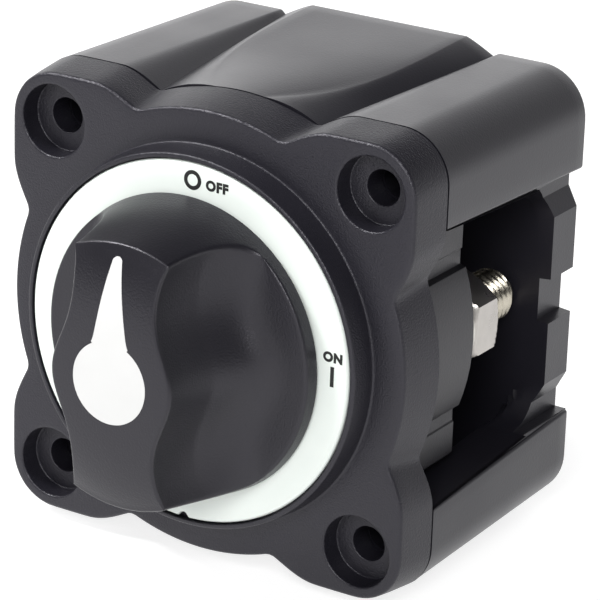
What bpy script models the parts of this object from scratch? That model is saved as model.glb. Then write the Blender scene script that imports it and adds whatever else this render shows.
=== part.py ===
"""Panel or surface mounted battery switch, dual circuit, with a quarter turn knob.

Metres, +Z up. The knob faces -Y. The world origin is the centre of the case's rear face, on the
dial axis, which is the Y axis. Every part is modelled under the empty "flange_face", so a part's
local Y is its depth in behind the flange's front face, and what stands proud of it is negative.

Seen from the front, an azimuth runs clockwise from 12 o'clock, as the knob turns.
"""
import math

import bmesh
import bpy
import numpy as np

MM = 0.001

# ---------------------------------------------------------------- driving dimensions, in mm
GAP = 0.3                   # between pieces that touch
RUNNING_GAP = 0.6           # between pieces that slide or turn against each other at speed of hand

CASE_DEPTH = 48.9           # flange face to rear face
CASE_HALF = 34.6            # half the width and height at the seam
CASE_DRAFT = 0.5            # how far the cover's sides draw in by its rear face
CORNER_RADIUS = 7.8
FLANGE_DEPTH = 7.5
FLANGE_DRAFT = 0.4          # how far the flange's sides draw in by its front face
EDGE = 0.5                  # chamfer that stands for the moulded edge radius

LOBE_ARC_RISE = 0.1         # how far the round swell in the middle of each side stands past CASE_HALF
VALLEY_ANGLE = 22.7         # degrees from the middle of a side to the groove beside the swell
SHOULDER = 20.4             # from the middle of a side to where a corner lobe runs flat

HOLE_SPACING = 53.5         # between mounting screws, both ways
HOLE_RADIUS = 2.6
COUNTERBORE_RADIUS = 5.4
COUNTERBORE_DEPTH = 3.5

BOSS_HEIGHT = 4.3
BOSS_RADIUS = 27.6
BOSS_DRAFT = 0.6
FRONT_WALL = 3.7            # boss front to the mechanism's space
HOUSING_BORE = 24.0         # radius of the mechanism's space in the front housing

RING_OUTER = 26.95
RING_INNER = 20.8
RING_THICKNESS = 0.8

KNOB_RADIUS = 22.3
KNOB_FOOT = 0.6             # from the boss front to the knob's underside
KNOB_HEIGHT = 18.4
KNOB_TAPER = 0.17           # radius lost per millimetre of height
KNOB_RIM = 2.1              # height of the scoops' floor over the underside
KNOB_CROWN = 2.2            # how far the top falls by its edge
GRIP_NECK = 6.5             # half width of the grip bar
GRIP_BULGE = 3.55
GRIP_BULGE_LENGTH = 7.2
GRIP_FLARE = 1.3
SCOOP_WIDTH = 7.0           # the scoop's wall is a quarter of an ellipse, this wide
SCOOP_START = 1.3           # and starts this far under the top
INLAY_DISC_RADIUS = 6.05
INLAY_NECK = 2.9
INLAY_TIP = 0.8
INLAY_REACH = 18.0
INLAY_THICKNESS = 0.9

SHAFT_RADIUS = 5.3
SHAFT_SQUARE = 7.4
JOURNAL_RADIUS = 3.0
CLIP_RADIUS = 8.0
CLIP_THICKNESS = 0.7
SEAL_SECTION = 0.55
WASHER_THICKNESS = 0.6

TRAVEL = 2.5                # of the contact carrier, from off to on
TURN = 90.0                 # degrees, from off to on
ROTOR_RADIUS = 17.0
ROTOR_THICKNESS = 3.0
RAMP_INNER = 8.0
RAMP_OUTER = 12.0
RAMP_LOW = 0.5
RAMP_RUN_OUT = 13.0         # degrees of ramp past each end of the turn
FOLLOWER_HALF_ANGLE = 10.0
FOLLOWER_AZIMUTHS = (135.0, 315.0)
NOTCH_DEPTH = 1.8
NOTCH_HALF_ANGLE = 6.0

HUB_RADIUS = 14.0
HUB_BORE = 5.5
HUB_THICKNESS = 2.2
ARM_INNER = 13.2
ARM_OUTER = 21.2
ARM_HALF_WIDTH = 8.5
EAR_RADIUS = 3.6
GUIDE_RADIUS = 1.5
GUIDE_CIRCLE = 20.0
BRIDGE_THICKNESS = 1.8
BRIDGE_FLOAT = 0.5          # how far a bridge can be pushed back against its springs
BRIDGE_HALF_WIDTH = 3.5
BUTTON_RADIUS = 2.5
BUTTON_HEIGHT = 0.8
CONTACT_SPRING_RADIUS = 1.5
CONTACT_SPRING_SPREAD = 5.0
RETURN_SPRING_RADIUS = 6.2

BASE_DEPTH = 22.0           # flange face to the terminal base's rear face
BASE_RADIUS = 31.9
BASE_SWELL_ANGLE = 19.5     # degrees, half the round swell on each side of the base
BASE_GROOVE = 1.0
BASE_BLOCK = 29.3           # half width over the corner blocks
BASE_BLOCK_EDGE = 13.4      # from the middle of a side to the corner block
BASE_CHAMFER = 33.6         # centre to the chamfer on a corner block
BASE_FLOOR = 3.0
BASE_BORE = 26.5            # radius of the mechanism's space in the base

STUD_RADIUS = 3.95
STUD_CIRCLE = 24.6
STUD_END = 41.0             # depth of a stud's end
STUD_HEAD_LEDGE = 1.45      # how far the head stands past the stud
STUD_FLAT_LEDGE = 0.8       # the same on its flat side, which stops it turning
STUD_HEAD_THICKNESS = 1.9
NUT_ACROSS_FLATS = 13.0
NUT_HEIGHT = 6.5
LOCK_WASHER_RADIUS = 6.6
LOCK_WASHER_THICKNESS = 1.6

SCREW_CIRCLE = 30.4         # housing screws, on the diagonals
SCREW_RADIUS = 1.3
SCREW_HEAD_RADIUS = 2.2
SCREW_HEAD_HEIGHT = 1.6
SCREW_BITE = 4.3            # length in the front housing

GASKET_RADIUS = 28.8        # mean: it runs outside the studs and inside the screws
GASKET_WAVE = 1.5
GASKET_HALF_WIDTH = 0.7
GASKET_THICKNESS = 1.1

COVER_BORE = 32.9
REAR_WALL = 6.9
WINDOW_HALF = 20.9          # half height of a cable opening at the seam
WINDOW_DRAFT = 1.7
WINDOW_CORNER = 6.3
HUMP_RISE = 1.1
HUMP_HALF_WIDTH = 18.4      # to the groove beside it, at the rear face
HUMP_GROOVE_DEPTH = 0.6     # under the rail, at the rear face
HUMP_STEEPNESS = 0.33
RAIL_INNER = 19.4           # at the rear face
SIDE_STEP = 0.8             # the rear wall's side edge, in from the cover's side
SIDE_SLOT = 2.3             # slots at that edge's ends, in from the cover's side
SIDE_NOTCH = 2.65           # notch in its middle, in from the cover's side
SIDE_NOTCH_HALF = 3.3

# ---------------------------------------------------------------- depths worked out from those
LOBE_ARC_RADIUS = CASE_HALF + LOBE_ARC_RISE
STUD_HEAD_RADIUS = STUD_RADIUS + STUD_HEAD_LEDGE
STUD_HEAD_FLAT = STUD_RADIUS + STUD_FLAT_LEDGE
BOSS_FACE = -BOSS_HEIGHT
INNER_FACE = BOSS_FACE + FRONT_WALL
KNOB_UNDERSIDE = BOSS_FACE - KNOB_FOOT
KNOB_TOP = KNOB_UNDERSIDE - KNOB_HEIGHT
SCOOP_FLOOR = KNOB_UNDERSIDE - KNOB_RIM
INLAY_BACK = KNOB_TOP + INLAY_THICKNESS
CLIP_SEAT = BOSS_FACE + 1.3
ROTOR_FRONT = INNER_FACE + GAP + WASHER_THICKNESS + GAP
ROTOR_BACK = ROTOR_FRONT + ROTOR_THICKNESS
FOLLOWER_TIP = ROTOR_BACK + RAMP_LOW + GAP
RAMP_PER_DEGREE = TRAVEL / TURN
RAMP_HIGH = RAMP_LOW + RAMP_PER_DEGREE * (TURN + RAMP_RUN_OUT)
HUB_FRONT = ROTOR_BACK + RAMP_HIGH + GAP + 0.1
HUB_BACK = HUB_FRONT + HUB_THICKNESS
BRIDGE_FRONT = HUB_BACK + BRIDGE_FLOAT + GAP
BRIDGE_BACK = BRIDGE_FRONT + BRIDGE_THICKNESS
BUTTON_FACE = BRIDGE_BACK + BUTTON_HEIGHT
BASE_INNER_FACE = BASE_DEPTH - BASE_FLOOR
BASE_FRONT = FLANGE_DEPTH + 2 * GAP
STUD_HEAD_FRONT = BUTTON_FACE + TRAVEL + GAP
STUD_HEAD_BACK = STUD_HEAD_FRONT + STUD_HEAD_THICKNESS
COVER_FRONT = FLANGE_DEPTH + GAP
COVER_INNER_FACE = CASE_DEPTH - REAR_WALL
HOLE = HOLE_SPACING / 2
SCREW = SCREW_CIRCLE / math.sqrt(2)
BUTTON_ALONG = STUD_CIRCLE / math.sqrt(2) - 2.1
BRIDGE_OFFSET = STUD_CIRCLE / math.sqrt(2)


# ---------------------------------------------------------------- modelling tools
def clear_scene():
    for old in list(bpy.data.objects):
        bpy.data.objects.remove(old, do_unlink=True)


def finish(name, colour, roughness, metallic=0.0):
    """A material that says what a part is made of."""
    material = bpy.data.materials.new(name)
    material.use_nodes = True
    shader = material.node_tree.nodes["Principled BSDF"]
    shader.inputs["Base Color"].default_value = (*colour, 1.0)
    shader.inputs["Roughness"].default_value = roughness
    shader.inputs["Metallic"].default_value = metallic
    return material


def solid(name, vertices, faces, material, parent):
    """One closed body from its corners in mm, given as (x, depth, z), and its faces."""
    mesh = bpy.data.meshes.new(name)
    mesh.from_pydata([(x * MM, y * MM, z * MM) for x, y, z in vertices], [], faces)
    shaper = bmesh.new()
    shaper.from_mesh(mesh)
    bmesh.ops.recalc_face_normals(shaper, faces=shaper.faces)
    shaper.to_mesh(mesh)
    shaper.free()
    part = bpy.data.objects.new(name, mesh)
    bpy.context.collection.objects.link(part)
    part.parent = parent
    if material:
        mesh.materials.append(material)
        mesh.shade_smooth()
        mesh.set_sharp_from_angle(angle=math.radians(35))
    return part


def skin(name, rows, material, parent, ends=True):
    """A solid skinned over closed loops of (x, depth, z) points, all of the same length."""
    count = len(rows[0])
    vertices = [point for row in rows for point in row]
    faces = []
    for row in range(len(rows) - (1 if ends else 0)):
        here, after = row * count, (row + 1) % len(rows) * count
        for i in range(count):
            j = (i + 1) % count
            faces.append((here + i, here + j, after + j, after + i))
    if ends:
        faces.append(tuple(range(count)))
        faces.append(tuple(range((len(rows) - 1) * count, len(rows) * count)))
    return solid(name, vertices, faces, material, parent)


def loft(name, sections, material, parent):
    """A solid skinned over outlines, each given as a depth and its (x, z) points."""
    rows = [[(x, depth, z) for x, z in outline] for depth, outline in sections]
    return skin(name, rows, material, parent)


def prism(name, outline, front, back, material, parent):
    return loft(name, [(front, outline), (back, outline)], material, parent)


def tube(name, loops, material, parent):
    """A ring shaped solid: each loop is a depth and its outline, and the last joins the first."""
    rows = [[(x, depth, z) for x, z in outline] for depth, outline in loops]
    return skin(name, rows, material, parent, ends=False)


def circle(radius, steps=48, centre=(0.0, 0.0)):
    turns = [2 * math.pi * i / steps for i in range(steps)]
    return [(centre[0] + radius * math.sin(a), centre[1] + radius * math.cos(a)) for a in turns]


def polygon(inradius, sides, steps, start=0.0):
    """A regular polygon, with the same number of points as a circle of that many steps."""
    wedge = 2 * math.pi / sides
    points = []
    for i in range(steps):
        angle = 2 * math.pi * i / steps
        across = (angle - start + wedge / 2) % wedge - wedge / 2
        radius = inradius / math.cos(across)
        points.append((radius * math.sin(angle), radius * math.cos(angle)))
    return points


def turned_outline(outline, azimuth, centre=(0.0, 0.0)):
    """An outline turned clockwise by an azimuth, then moved to its place."""
    c, s = math.cos(math.radians(azimuth)), math.sin(math.radians(azimuth))
    return [(x * c + z * s + centre[0], z * c - x * s + centre[1]) for x, z in outline]


def shifted(outline, centre):
    return [(x + centre[0], z + centre[1]) for x, z in outline]


def turned(name, profile, steps, material, parent, centre=(0.0, 0.0)):
    """A solid of revolution on a line along Y, from (radius, depth) points, front to back."""
    return loft(name, [(d, circle(r, steps, centre)) for r, d in profile], material, parent)


def ring(name, profile, steps, material, parent, centre=(0.0, 0.0)):
    """A ring of revolution whose closed cross section is given as (radius, depth) points."""
    return tube(name, [(d, circle(r, steps, centre)) for r, d in profile], material, parent)


def joined(part, other, operation):
    """Adds a Boolean to the part, and keeps its other body as a wire guide."""
    other.hide_render = True
    other.display_type = "WIRE"
    boolean = part.modifiers.new(other.name, "BOOLEAN")
    boolean.operation = operation
    boolean.solver = "EXACT"
    boolean.object = other


def cut(part, *cutters):
    for cutter in cutters:
        joined(part, cutter, "DIFFERENCE")


def add(part, *bodies):
    for body in bodies:
        joined(part, body, "UNION")


def at_azimuth(radius, azimuth):
    angle = math.radians(azimuth)
    return radius * math.sin(angle), radius * math.cos(angle)


def corners(distance):
    return [(sx * distance, sz * distance) for sx, sz in ((1, 1), (1, -1), (-1, -1), (-1, 1))]


def quarters(points):
    """Repeats the points of one side around all four sides."""
    outline = []
    for side in range(4):
        turn = math.pi / 2 * side
        c, s = math.cos(turn), math.sin(turn)
        outline += [(x * c + z * s, z * c - x * s) for x, z in points]
    return outline


def coil(name, radius, wire, turns, front, back, material, parent, centre=(0.0, 0.0), sides=5, steps=10):
    """A compression spring: a round wire carried along a helix, with capped ends."""
    count = int(turns * steps)
    rows = []
    for i in range(count + 1):
        share = i / count
        angle = 2 * math.pi * turns * share
        depth = front + wire + (back - front - 2 * wire) * share
        row = []
        for k in range(sides):
            around = 2 * math.pi * k / sides
            out = radius + wire * math.cos(around)
            row.append((centre[0] + out * math.sin(angle), depth + wire * math.sin(around),
                        centre[1] + out * math.cos(angle)))
        rows.append(row)
    return skin(name, rows, material, parent)


# ---------------------------------------------------------------- outlines of the case
def lobed_side(inset, arc_steps=6, corner_steps=5):
    """The top side, left to right: a round swell, a groove, then the right corner lobe.

    Every edge is set in by the same amount, so the edges stay parallel between sections.
    """
    theta = math.radians(VALLEY_ANGLE)
    start = np.array([math.sin(theta), math.cos(theta)]) * LOBE_ARC_RADIUS
    along = np.array([SHOULDER, CASE_HALF]) - start
    along /= np.linalg.norm(along)
    inward = np.array([along[1], -along[0]])
    base = start + inset * inward
    radius = LOBE_ARC_RADIUS - inset
    travelled = base @ along
    valley = base + along * (math.sqrt(travelled ** 2 - base @ base + radius ** 2) - travelled)
    reach = math.atan2(valley[0], valley[1])
    shoulder = base + along * (CASE_HALF - inset - base[1]) / along[1]
    points = [(radius * math.sin(reach * k / arc_steps), radius * math.cos(reach * k / arc_steps))
              for k in range(-arc_steps, arc_steps + 1)]
    points.append(tuple(shoulder))
    centre = CASE_HALF - CORNER_RADIUS
    for k in range(corner_steps + 1):
        angle = math.pi / 2 * k / corner_steps
        points.append((centre + (CORNER_RADIUS - inset) * math.sin(angle),
                       centre + (CORNER_RADIUS - inset) * math.cos(angle)))
    points.append((shoulder[1], shoulder[0]))
    return points


def cover_section(depth, inset=0.0, hump_steps=14, corner_steps=5):
    """The cover's outline: straight sides, and top and bottom where a hump grows out of the swell."""
    share = (depth - COVER_FRONT) / (CASE_DEPTH - COVER_FRONT)
    half = CASE_HALF - CASE_DRAFT * share - inset
    theta = math.radians(VALLEY_ANGLE)
    valley_x, valley_z = LOBE_ARC_RADIUS * math.sin(theta), LOBE_ARC_RADIUS * math.cos(theta)
    width = valley_x + (HUMP_HALF_WIDTH - valley_x) * share
    groove = valley_z + (CASE_HALF - CASE_DRAFT - HUMP_GROOVE_DEPTH - valley_z) * share - inset
    top = LOBE_ARC_RADIUS + HUMP_RISE * share - inset
    shoulder = SHOULDER + (RAIL_INNER - SHOULDER) * share
    hump = []
    for k in range(hump_steps + 1):
        x = -width * math.cos(math.pi * k / hump_steps)
        inside = max(valley_x - (width - abs(x)), 0.0)
        rise = math.sqrt(LOBE_ARC_RADIUS ** 2 - inside ** 2) - valley_z
        hump.append((x, min(groove + rise * (1 + HUMP_STEEPNESS * share), top)))
    radius = CORNER_RADIUS - inset
    centre = CASE_HALF - CASE_DRAFT * share - CORNER_RADIUS
    corner = []
    for k in range(corner_steps + 1):
        angle = math.pi / 2 * k / corner_steps
        corner.append((centre + radius * math.sin(angle), centre + radius * math.cos(angle)))
    right = [(shoulder, half)] + corner
    upper = [(-x, z) for x, z in reversed(right)] + hump + right
    return upper + [(-x, -z) for x, z in upper]


def base_outline(clearance=0.0, arc_steps=5):
    """The terminal base: a swell on each side, a groove, and a chamfered block in each corner."""
    swell = math.radians(BASE_SWELL_ANGLE)
    radius = BASE_RADIUS + clearance
    side = [(radius * math.sin(swell * k / arc_steps), radius * math.cos(swell * k / arc_steps))
            for k in range(-arc_steps, arc_steps + 1)]
    block = BASE_BLOCK + clearance
    chamfer = (BASE_CHAMFER + clearance) * math.sqrt(2)
    floor = side[-1][1] - BASE_GROOVE
    side.append((side[-1][0] + 0.3, floor))
    side.append((BASE_BLOCK_EDGE - clearance - 0.2, floor))
    side.append((BASE_BLOCK_EDGE - clearance, block))
    side.append((chamfer - block, block))
    side.append((block, chamfer - block))
    side.append((block, BASE_BLOCK_EDGE - clearance))
    side.append((floor, BASE_BLOCK_EDGE - clearance - 0.2))
    side.append((floor, side[2 * arc_steps][0] + 0.3))
    return quarters(side)


# ---------------------------------------------------------------- casings
def make_front_housing(material, parent):
    """Moulded flange with the round boss, four stepped screw holes and the shaft's bearing."""
    sections = [(0.0, quarters(lobed_side(FLANGE_DRAFT + EDGE))),
                (EDGE, quarters(lobed_side(FLANGE_DRAFT))),
                (FLANGE_DEPTH, quarters(lobed_side(0.0)))]
    housing = loft("front_housing", sections, material, parent)
    foot = BOSS_RADIUS + BOSS_DRAFT
    boss = turned("boss_body", [(BOSS_RADIUS - EDGE / 2, BOSS_FACE), (BOSS_RADIUS, BOSS_FACE + EDGE / 2),
                                (foot, -EDGE), (foot + EDGE, 0.1), (foot + EDGE, 1.0)], 56, None, parent)
    add(housing, boss)
    ring_seat = BOSS_FACE + RING_THICKNESS + GAP
    cut(housing,
        turned("mechanism_space", [(HOUSING_BORE, INNER_FACE), (HOUSING_BORE, FLANGE_DEPTH + 1)], 40, None, parent),
        ring("ring_seat", [(RING_INNER - GAP, BOSS_FACE - 1), (RING_OUTER + GAP, BOSS_FACE - 1),
                           (RING_OUTER + GAP, ring_seat), (RING_INNER - GAP, ring_seat)], 56, None, parent),
        turned("clip_seat", [(CLIP_RADIUS + 1, BOSS_FACE - 1), (CLIP_RADIUS + 1, CLIP_SEAT)], 24, None, parent),
        turned("shaft_bore", [(SHAFT_RADIUS + GAP, BOSS_FACE), (SHAFT_RADIUS + GAP, INNER_FACE + 1)], 20,
               None, parent),
        gasket_loop("gasket_groove", GAP, FLANGE_DEPTH - GASKET_THICKNESS, FLANGE_DEPTH + 1, None, parent))
    for number, place in enumerate(corners(HOLE), 1):
        cut(housing, turned(f"flange_hole_{number}",
                            [(COUNTERBORE_RADIUS, -1), (COUNTERBORE_RADIUS, COUNTERBORE_DEPTH),
                             (HOLE_RADIUS, COUNTERBORE_DEPTH), (HOLE_RADIUS, FLANGE_DEPTH + 1)],
                            24, None, parent, place))
    for number, place in enumerate(corners(SCREW), 1):
        cut(housing, turned(f"pilot_hole_{number}",
                            [(SCREW_RADIUS + GAP, FLANGE_DEPTH - SCREW_BITE - GAP),
                             (SCREW_RADIUS + GAP, FLANGE_DEPTH + 1)], 8, None, parent, place))
    return housing


def make_terminal_base(material, parent):
    """Moulded cup that carries the studs, the carrier's guide pins and the shaft's rear bearing."""
    base = prism("terminal_base", base_outline(), BASE_FRONT, BASE_DEPTH, material, parent)
    cut(base, turned("base_space", [(BASE_BORE, BASE_FRONT - 1), (BASE_BORE, BASE_INNER_FACE)], 40, None, parent))
    for number in range(4):
        place = at_azimuth(STUD_CIRCLE, 90 * number)
        head = stud_head(90 * number, GAP)
        shank = turned_outline(circle(STUD_RADIUS + GAP, 20), 90 * number, place)
        cut(base, loft(f"stud_pocket_{number + 1}",
                       [(BASE_FRONT - 1, head), (BASE_INNER_FACE, head), (BASE_INNER_FACE, shank),
                        (BASE_DEPTH + 1, shank)], None, parent))
    for number, place in enumerate(corners(SCREW), 1):
        cut(base, turned(f"screw_hole_{number}", [(SCREW_RADIUS + GAP, BASE_FRONT - 1),
                                                  (SCREW_RADIUS + GAP, BASE_DEPTH + 1)], 8, None, parent, place))
    bearing_front = HUB_BACK + TRAVEL + RUNNING_GAP
    add(base, turned("bearing_boss", [(JOURNAL_RADIUS + 1.6, bearing_front),
                                      (JOURNAL_RADIUS + 1.6, BASE_INNER_FACE + 0.5)], 24, None, parent))
    cut(base, turned("bearing_bore", [(JOURNAL_RADIUS + GAP, bearing_front - 1),
                                      (JOURNAL_RADIUS + GAP, BASE_INNER_FACE)], 24, None, parent))
    for number, azimuth in enumerate(FOLLOWER_AZIMUTHS, 1):
        add(base, turned(f"guide_pin_{number}", [(GUIDE_RADIUS, HUB_FRONT - 1.5),
                                                 (GUIDE_RADIUS, BASE_INNER_FACE + 0.5)],
                         12, None, parent, at_azimuth(GUIDE_CIRCLE, azimuth)))
    return base


def make_rear_cover(material, parent):
    """Moulded cover over the terminals, open at both sides for the cables."""
    length = CASE_DEPTH - COVER_FRONT
    depths = [COVER_FRONT + length * share for share in (0.0, 0.08, 0.18, 0.32, 0.5, 0.75)]
    sections = [(depth, cover_section(depth)) for depth in depths]
    sections.append((CASE_DEPTH - EDGE, cover_section(CASE_DEPTH - EDGE)))
    sections.append((CASE_DEPTH, cover_section(CASE_DEPTH, EDGE)))
    cover = loft("rear_cover", sections, material, parent)
    cut(cover,
        prism("base_clearance", base_outline(0.5), COVER_FRONT - 1, BASE_DEPTH + 0.5, None, parent),
        turned("terminal_space", [(COVER_BORE, BASE_DEPTH - 1), (COVER_BORE, COVER_INNER_FACE)], 64, None, parent))
    for side, label in ((1, "right"), (-1, "left")):
        cut(cover, cable_window(f"{label}_window", side, parent), side_relief(f"{label}_relief", side, parent))
    for number, place in enumerate(corners(HOLE), 1):
        cut(cover, turned(f"cover_hole_{number}", [(HOLE_RADIUS, COVER_FRONT - 1), (HOLE_RADIUS, CASE_DEPTH + 1)],
                          16, None, parent, place))
    return cover


def cable_window(name, side, parent, steps=6):
    """Cutter for one side's cable opening, with its rear corners rounded."""
    slope = WINDOW_DRAFT / (CASE_DEPTH - COVER_FRONT)
    front = COVER_FRONT - 1
    upper = [(front, WINDOW_HALF)]
    height = WINDOW_HALF - slope * (COVER_INNER_FACE - WINDOW_CORNER - COVER_FRONT)
    for k in range(steps + 1):
        angle = math.pi / 2 * k / steps
        upper.append((COVER_INNER_FACE - WINDOW_CORNER + WINDOW_CORNER * math.sin(angle),
                      height - WINDOW_CORNER + WINDOW_CORNER * math.cos(angle)))
    outline = upper + [(d, -z) for d, z in reversed(upper)]
    rows = [[(side * x, depth, z) for depth, z in outline] for x in (8.0, CASE_HALF + 2)]
    return skin(name, rows, None, parent)


def side_relief(name, side, parent):
    """Cutter that sets the rear wall's side edge in, with a slot at each end and a middle notch."""
    half = CASE_HALF - CASE_DRAFT
    edge, slot, notch = half - SIDE_STEP, half - SIDE_SLOT, half - SIDE_NOTCH
    reach = WINDOW_HALF - WINDOW_DRAFT
    upper = [(CASE_HALF + 2, reach), (slot, reach), (slot + 0.1, reach - 3.0), (edge, reach - 6.0),
             (edge, SIDE_NOTCH_HALF + 0.9), (notch, SIDE_NOTCH_HALF)]
    outline = upper + [(x, -z) for x, z in reversed(upper)]
    return prism(name, [(side * x, z) for x, z in outline], BASE_DEPTH + 6, CASE_DEPTH + 1, None, parent)


def gasket_loop(name, grow, front, back, material, parent, steps=48):
    """A ring that swings out past each stud pocket and in past each housing screw."""
    outlines = []
    for offset in (-GASKET_HALF_WIDTH - grow, GASKET_HALF_WIDTH + grow):
        turns = [2 * math.pi * i / steps for i in range(steps)]
        radii = [GASKET_RADIUS + GASKET_WAVE * math.cos(4 * a) + offset for a in turns]
        outlines.append([(r * math.sin(a), r * math.cos(a)) for r, a in zip(radii, turns)])
    inner, outer = outlines
    return tube(name, [(front, inner), (front, outer), (back, outer), (back, inner)], material, parent)


def make_gasket(material, parent):
    return gasket_loop("housing_gasket", 0.0, FLANGE_DEPTH - GASKET_THICKNESS + GAP, BASE_FRONT - GAP,
                       material, parent)


# ---------------------------------------------------------------- dial and knob
def make_dial_ring(material, parent):
    back = BOSS_FACE + RING_THICKNESS
    profile = [(RING_INNER, BOSS_FACE), (RING_OUTER, BOSS_FACE), (RING_OUTER, back), (RING_INNER, back)]
    return ring("dial_ring", profile, 56, material, parent)


def knob_radius(depth):
    return KNOB_RADIUS - KNOB_TAPER * (KNOB_UNDERSIDE - depth)


def knob_crown(radius):
    """Depth of the knob's domed top: it falls with the 3.5th power of the radius."""
    return KNOB_TOP + KNOB_CROWN * (radius / 18.5) ** 3.5


def grip_half_width(z):
    """The bar's half width: a neck, a round bulge in the middle, and ends that flare."""
    return GRIP_NECK + GRIP_BULGE * math.exp(-(z / GRIP_BULGE_LENGTH) ** 2) + GRIP_FLARE * (z / 18) ** 4


def make_scoop(name, side, parent, rows=20, steps=7):
    """Cutter for one finger scoop. Its wall falls as a quarter of an ellipse beside the grip."""
    start = KNOB_TOP + SCOOP_START
    deep = SCOOP_FLOOR - start
    reach = KNOB_RADIUS + 3
    sections = []
    for i in range(rows + 1):
        z = -reach + 2 * reach * i / rows
        inner = grip_half_width(min(abs(z), 20.0))
        row = [(inner, KNOB_TOP - 2)]
        for k in range(steps + 1):
            t = math.pi / 2 * k / steps
            row.append((inner + SCOOP_WIDTH * (1 - math.cos(t)), start + deep * math.sin(t)))
        row += [(reach + 2, SCOOP_FLOOR), (reach + 2, KNOB_TOP - 2)]
        sections.append([(side * x, depth, z) for x, depth in row])
    return skin(name, sections, None, parent)


def inlay_slab(name, grow, front, back, material, parent):
    """The pointer's shape: a disc round the axis, and a tapering finger with a round tip.

    It is built across, row by row, so that front and back can each follow the knob's crown.
    """
    radius = INLAY_DISC_RADIUS + grow
    neck = math.asin((INLAY_NECK + grow) / radius)
    widths = []
    for k in range(17):
        angle = math.radians(5) + (math.pi - neck - math.radians(5)) * k / 16
        widths.append((-radius * math.cos(angle), radius * math.sin(angle)))
    base, tip = radius * math.cos(neck), INLAY_TIP + grow
    end = INLAY_REACH - INLAY_TIP
    for k in range(1, 7):
        share = k / 6
        widths.append((base + (end - base) * share, INLAY_NECK + grow + (INLAY_TIP - INLAY_NECK) * share))
    widths += [(end + tip * math.sin(a), tip * math.cos(a)) for a in (0.5, 1.0, 1.4)]
    rows = []
    for z, half in widths:
        reach = math.hypot(half, z)
        rows.append([(-half, front(reach), z), (half, front(reach), z), (half, back(reach), z),
                     (-half, back(reach), z)])
    return skin(name, rows, material, parent)


def make_knob(material, parent):
    """Turned blank with two scoops, a seat for the pointer, a square socket and cored ends."""
    rim = 19.6
    profile = [(0.01, KNOB_TOP)]
    profile += [(r, knob_crown(r)) for r in (5.0, 9.0, 12.0, 14.5, 16.5, 18.2)]
    profile += [(rim - EDGE, knob_crown(rim - EDGE)), (knob_radius(knob_crown(rim) + EDGE), knob_crown(rim) + EDGE)]
    profile += [(knob_radius(depth), depth) for depth in (-14.0, SCOOP_FLOOR, KNOB_UNDERSIDE)]
    knob = turned("knob", profile, 56, material, parent)
    cut(knob, make_scoop("right_scoop", 1, parent), make_scoop("left_scoop", -1, parent))
    socket = SHAFT_SQUARE / 2 + GAP
    screw_seat = INLAY_BACK + GAP + 3.0
    cut(knob,
        inlay_slab("inlay_seat", GAP, lambda r: KNOB_TOP - 2, lambda r: inlay_back(r) + GAP, None, parent),
        turned("screw_head_space", [(3.8, KNOB_TOP), (3.8, screw_seat)], 24, None, parent),
        turned("screw_shank_space", [(2.3, KNOB_TOP), (2.3, KNOB_UNDERSIDE + 1)], 16, None, parent),
        prism("shaft_socket", [(socket, socket), (socket, -socket), (-socket, -socket), (-socket, socket)],
              SHAFT_FRONT - GAP, KNOB_UNDERSIDE + 1, None, parent))
    for side, label in ((1, "upper"), (-1, "lower")):
        core = [(4.0, 8.5), (4.0, 16.0), (-4.0, 16.0), (-4.0, 8.5)]
        cut(knob, prism(f"{label}_core", [(x, side * z) for x, z in core], KNOB_TOP + 4.5, KNOB_UNDERSIDE + 1,
                        None, parent))
    return knob


SHAFT_FRONT = KNOB_UNDERSIDE - 8.6


def inlay_back(radius):
    return knob_crown(radius) + INLAY_THICKNESS


def make_pointer(material, parent):
    """White inlay, its face flush with the knob's crown."""
    return inlay_slab("pointer_inlay", 0.0, knob_crown, inlay_back, material, parent)


def make_knob_screw(material, parent):
    head = INLAY_BACK + 2 * GAP
    profile = [(3.0, head), (3.5, head + 0.6), (3.5, head + 2.3), (1.9, head + 2.3), (1.9, SHAFT_FRONT + 6.6)]
    return turned("knob_screw", profile, 12, material, parent)


# ---------------------------------------------------------------- shaft and rotor
def make_drive_shaft(material, parent, steps=16):
    """Square at the knob and the rotor, round in the bearings, with grooves for clip and seal."""
    square = polygon(SHAFT_SQUARE / 2, 4, steps)
    square = [(x * min(1, SHAFT_RADIUS * 0.97 / math.hypot(x, z)), z * min(1, SHAFT_RADIUS * 0.97 / math.hypot(x, z)))
              for x, z in square]
    full, groove, journal = circle(SHAFT_RADIUS, steps), circle(4.4, steps), circle(JOURNAL_RADIUS, steps)
    seal_groove = circle(SHAFT_RADIUS - 2 * SEAL_SECTION - GAP, steps)
    clip = (CLIP_SEAT - GAP - CLIP_THICKNESS - GAP, CLIP_SEAT)
    seal = (SEAL_DEPTH - SEAL_SECTION - GAP, SEAL_DEPTH + SEAL_SECTION + GAP)
    square_back = ROTOR_BACK + 1.0
    sections = [(SHAFT_FRONT, square), (KNOB_UNDERSIDE, square), (KNOB_UNDERSIDE, full), (clip[0], full),
                (clip[0], groove), (clip[1], groove), (clip[1], full), (seal[0], full), (seal[0], seal_groove),
                (seal[1], seal_groove), (seal[1], full), (ROTOR_FRONT - GAP, full), (ROTOR_FRONT - GAP, square),
                (square_back, square), (square_back, journal), (BASE_INNER_FACE - GAP, journal)]
    shaft = loft("drive_shaft", sections, material, parent)
    cut(shaft, turned("screw_thread", [(2.2, SHAFT_FRONT - 1), (2.2, SHAFT_FRONT + 7.0)], 12, None, parent))
    return shaft


SEAL_DEPTH = (CLIP_SEAT + INNER_FACE) / 2


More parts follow.
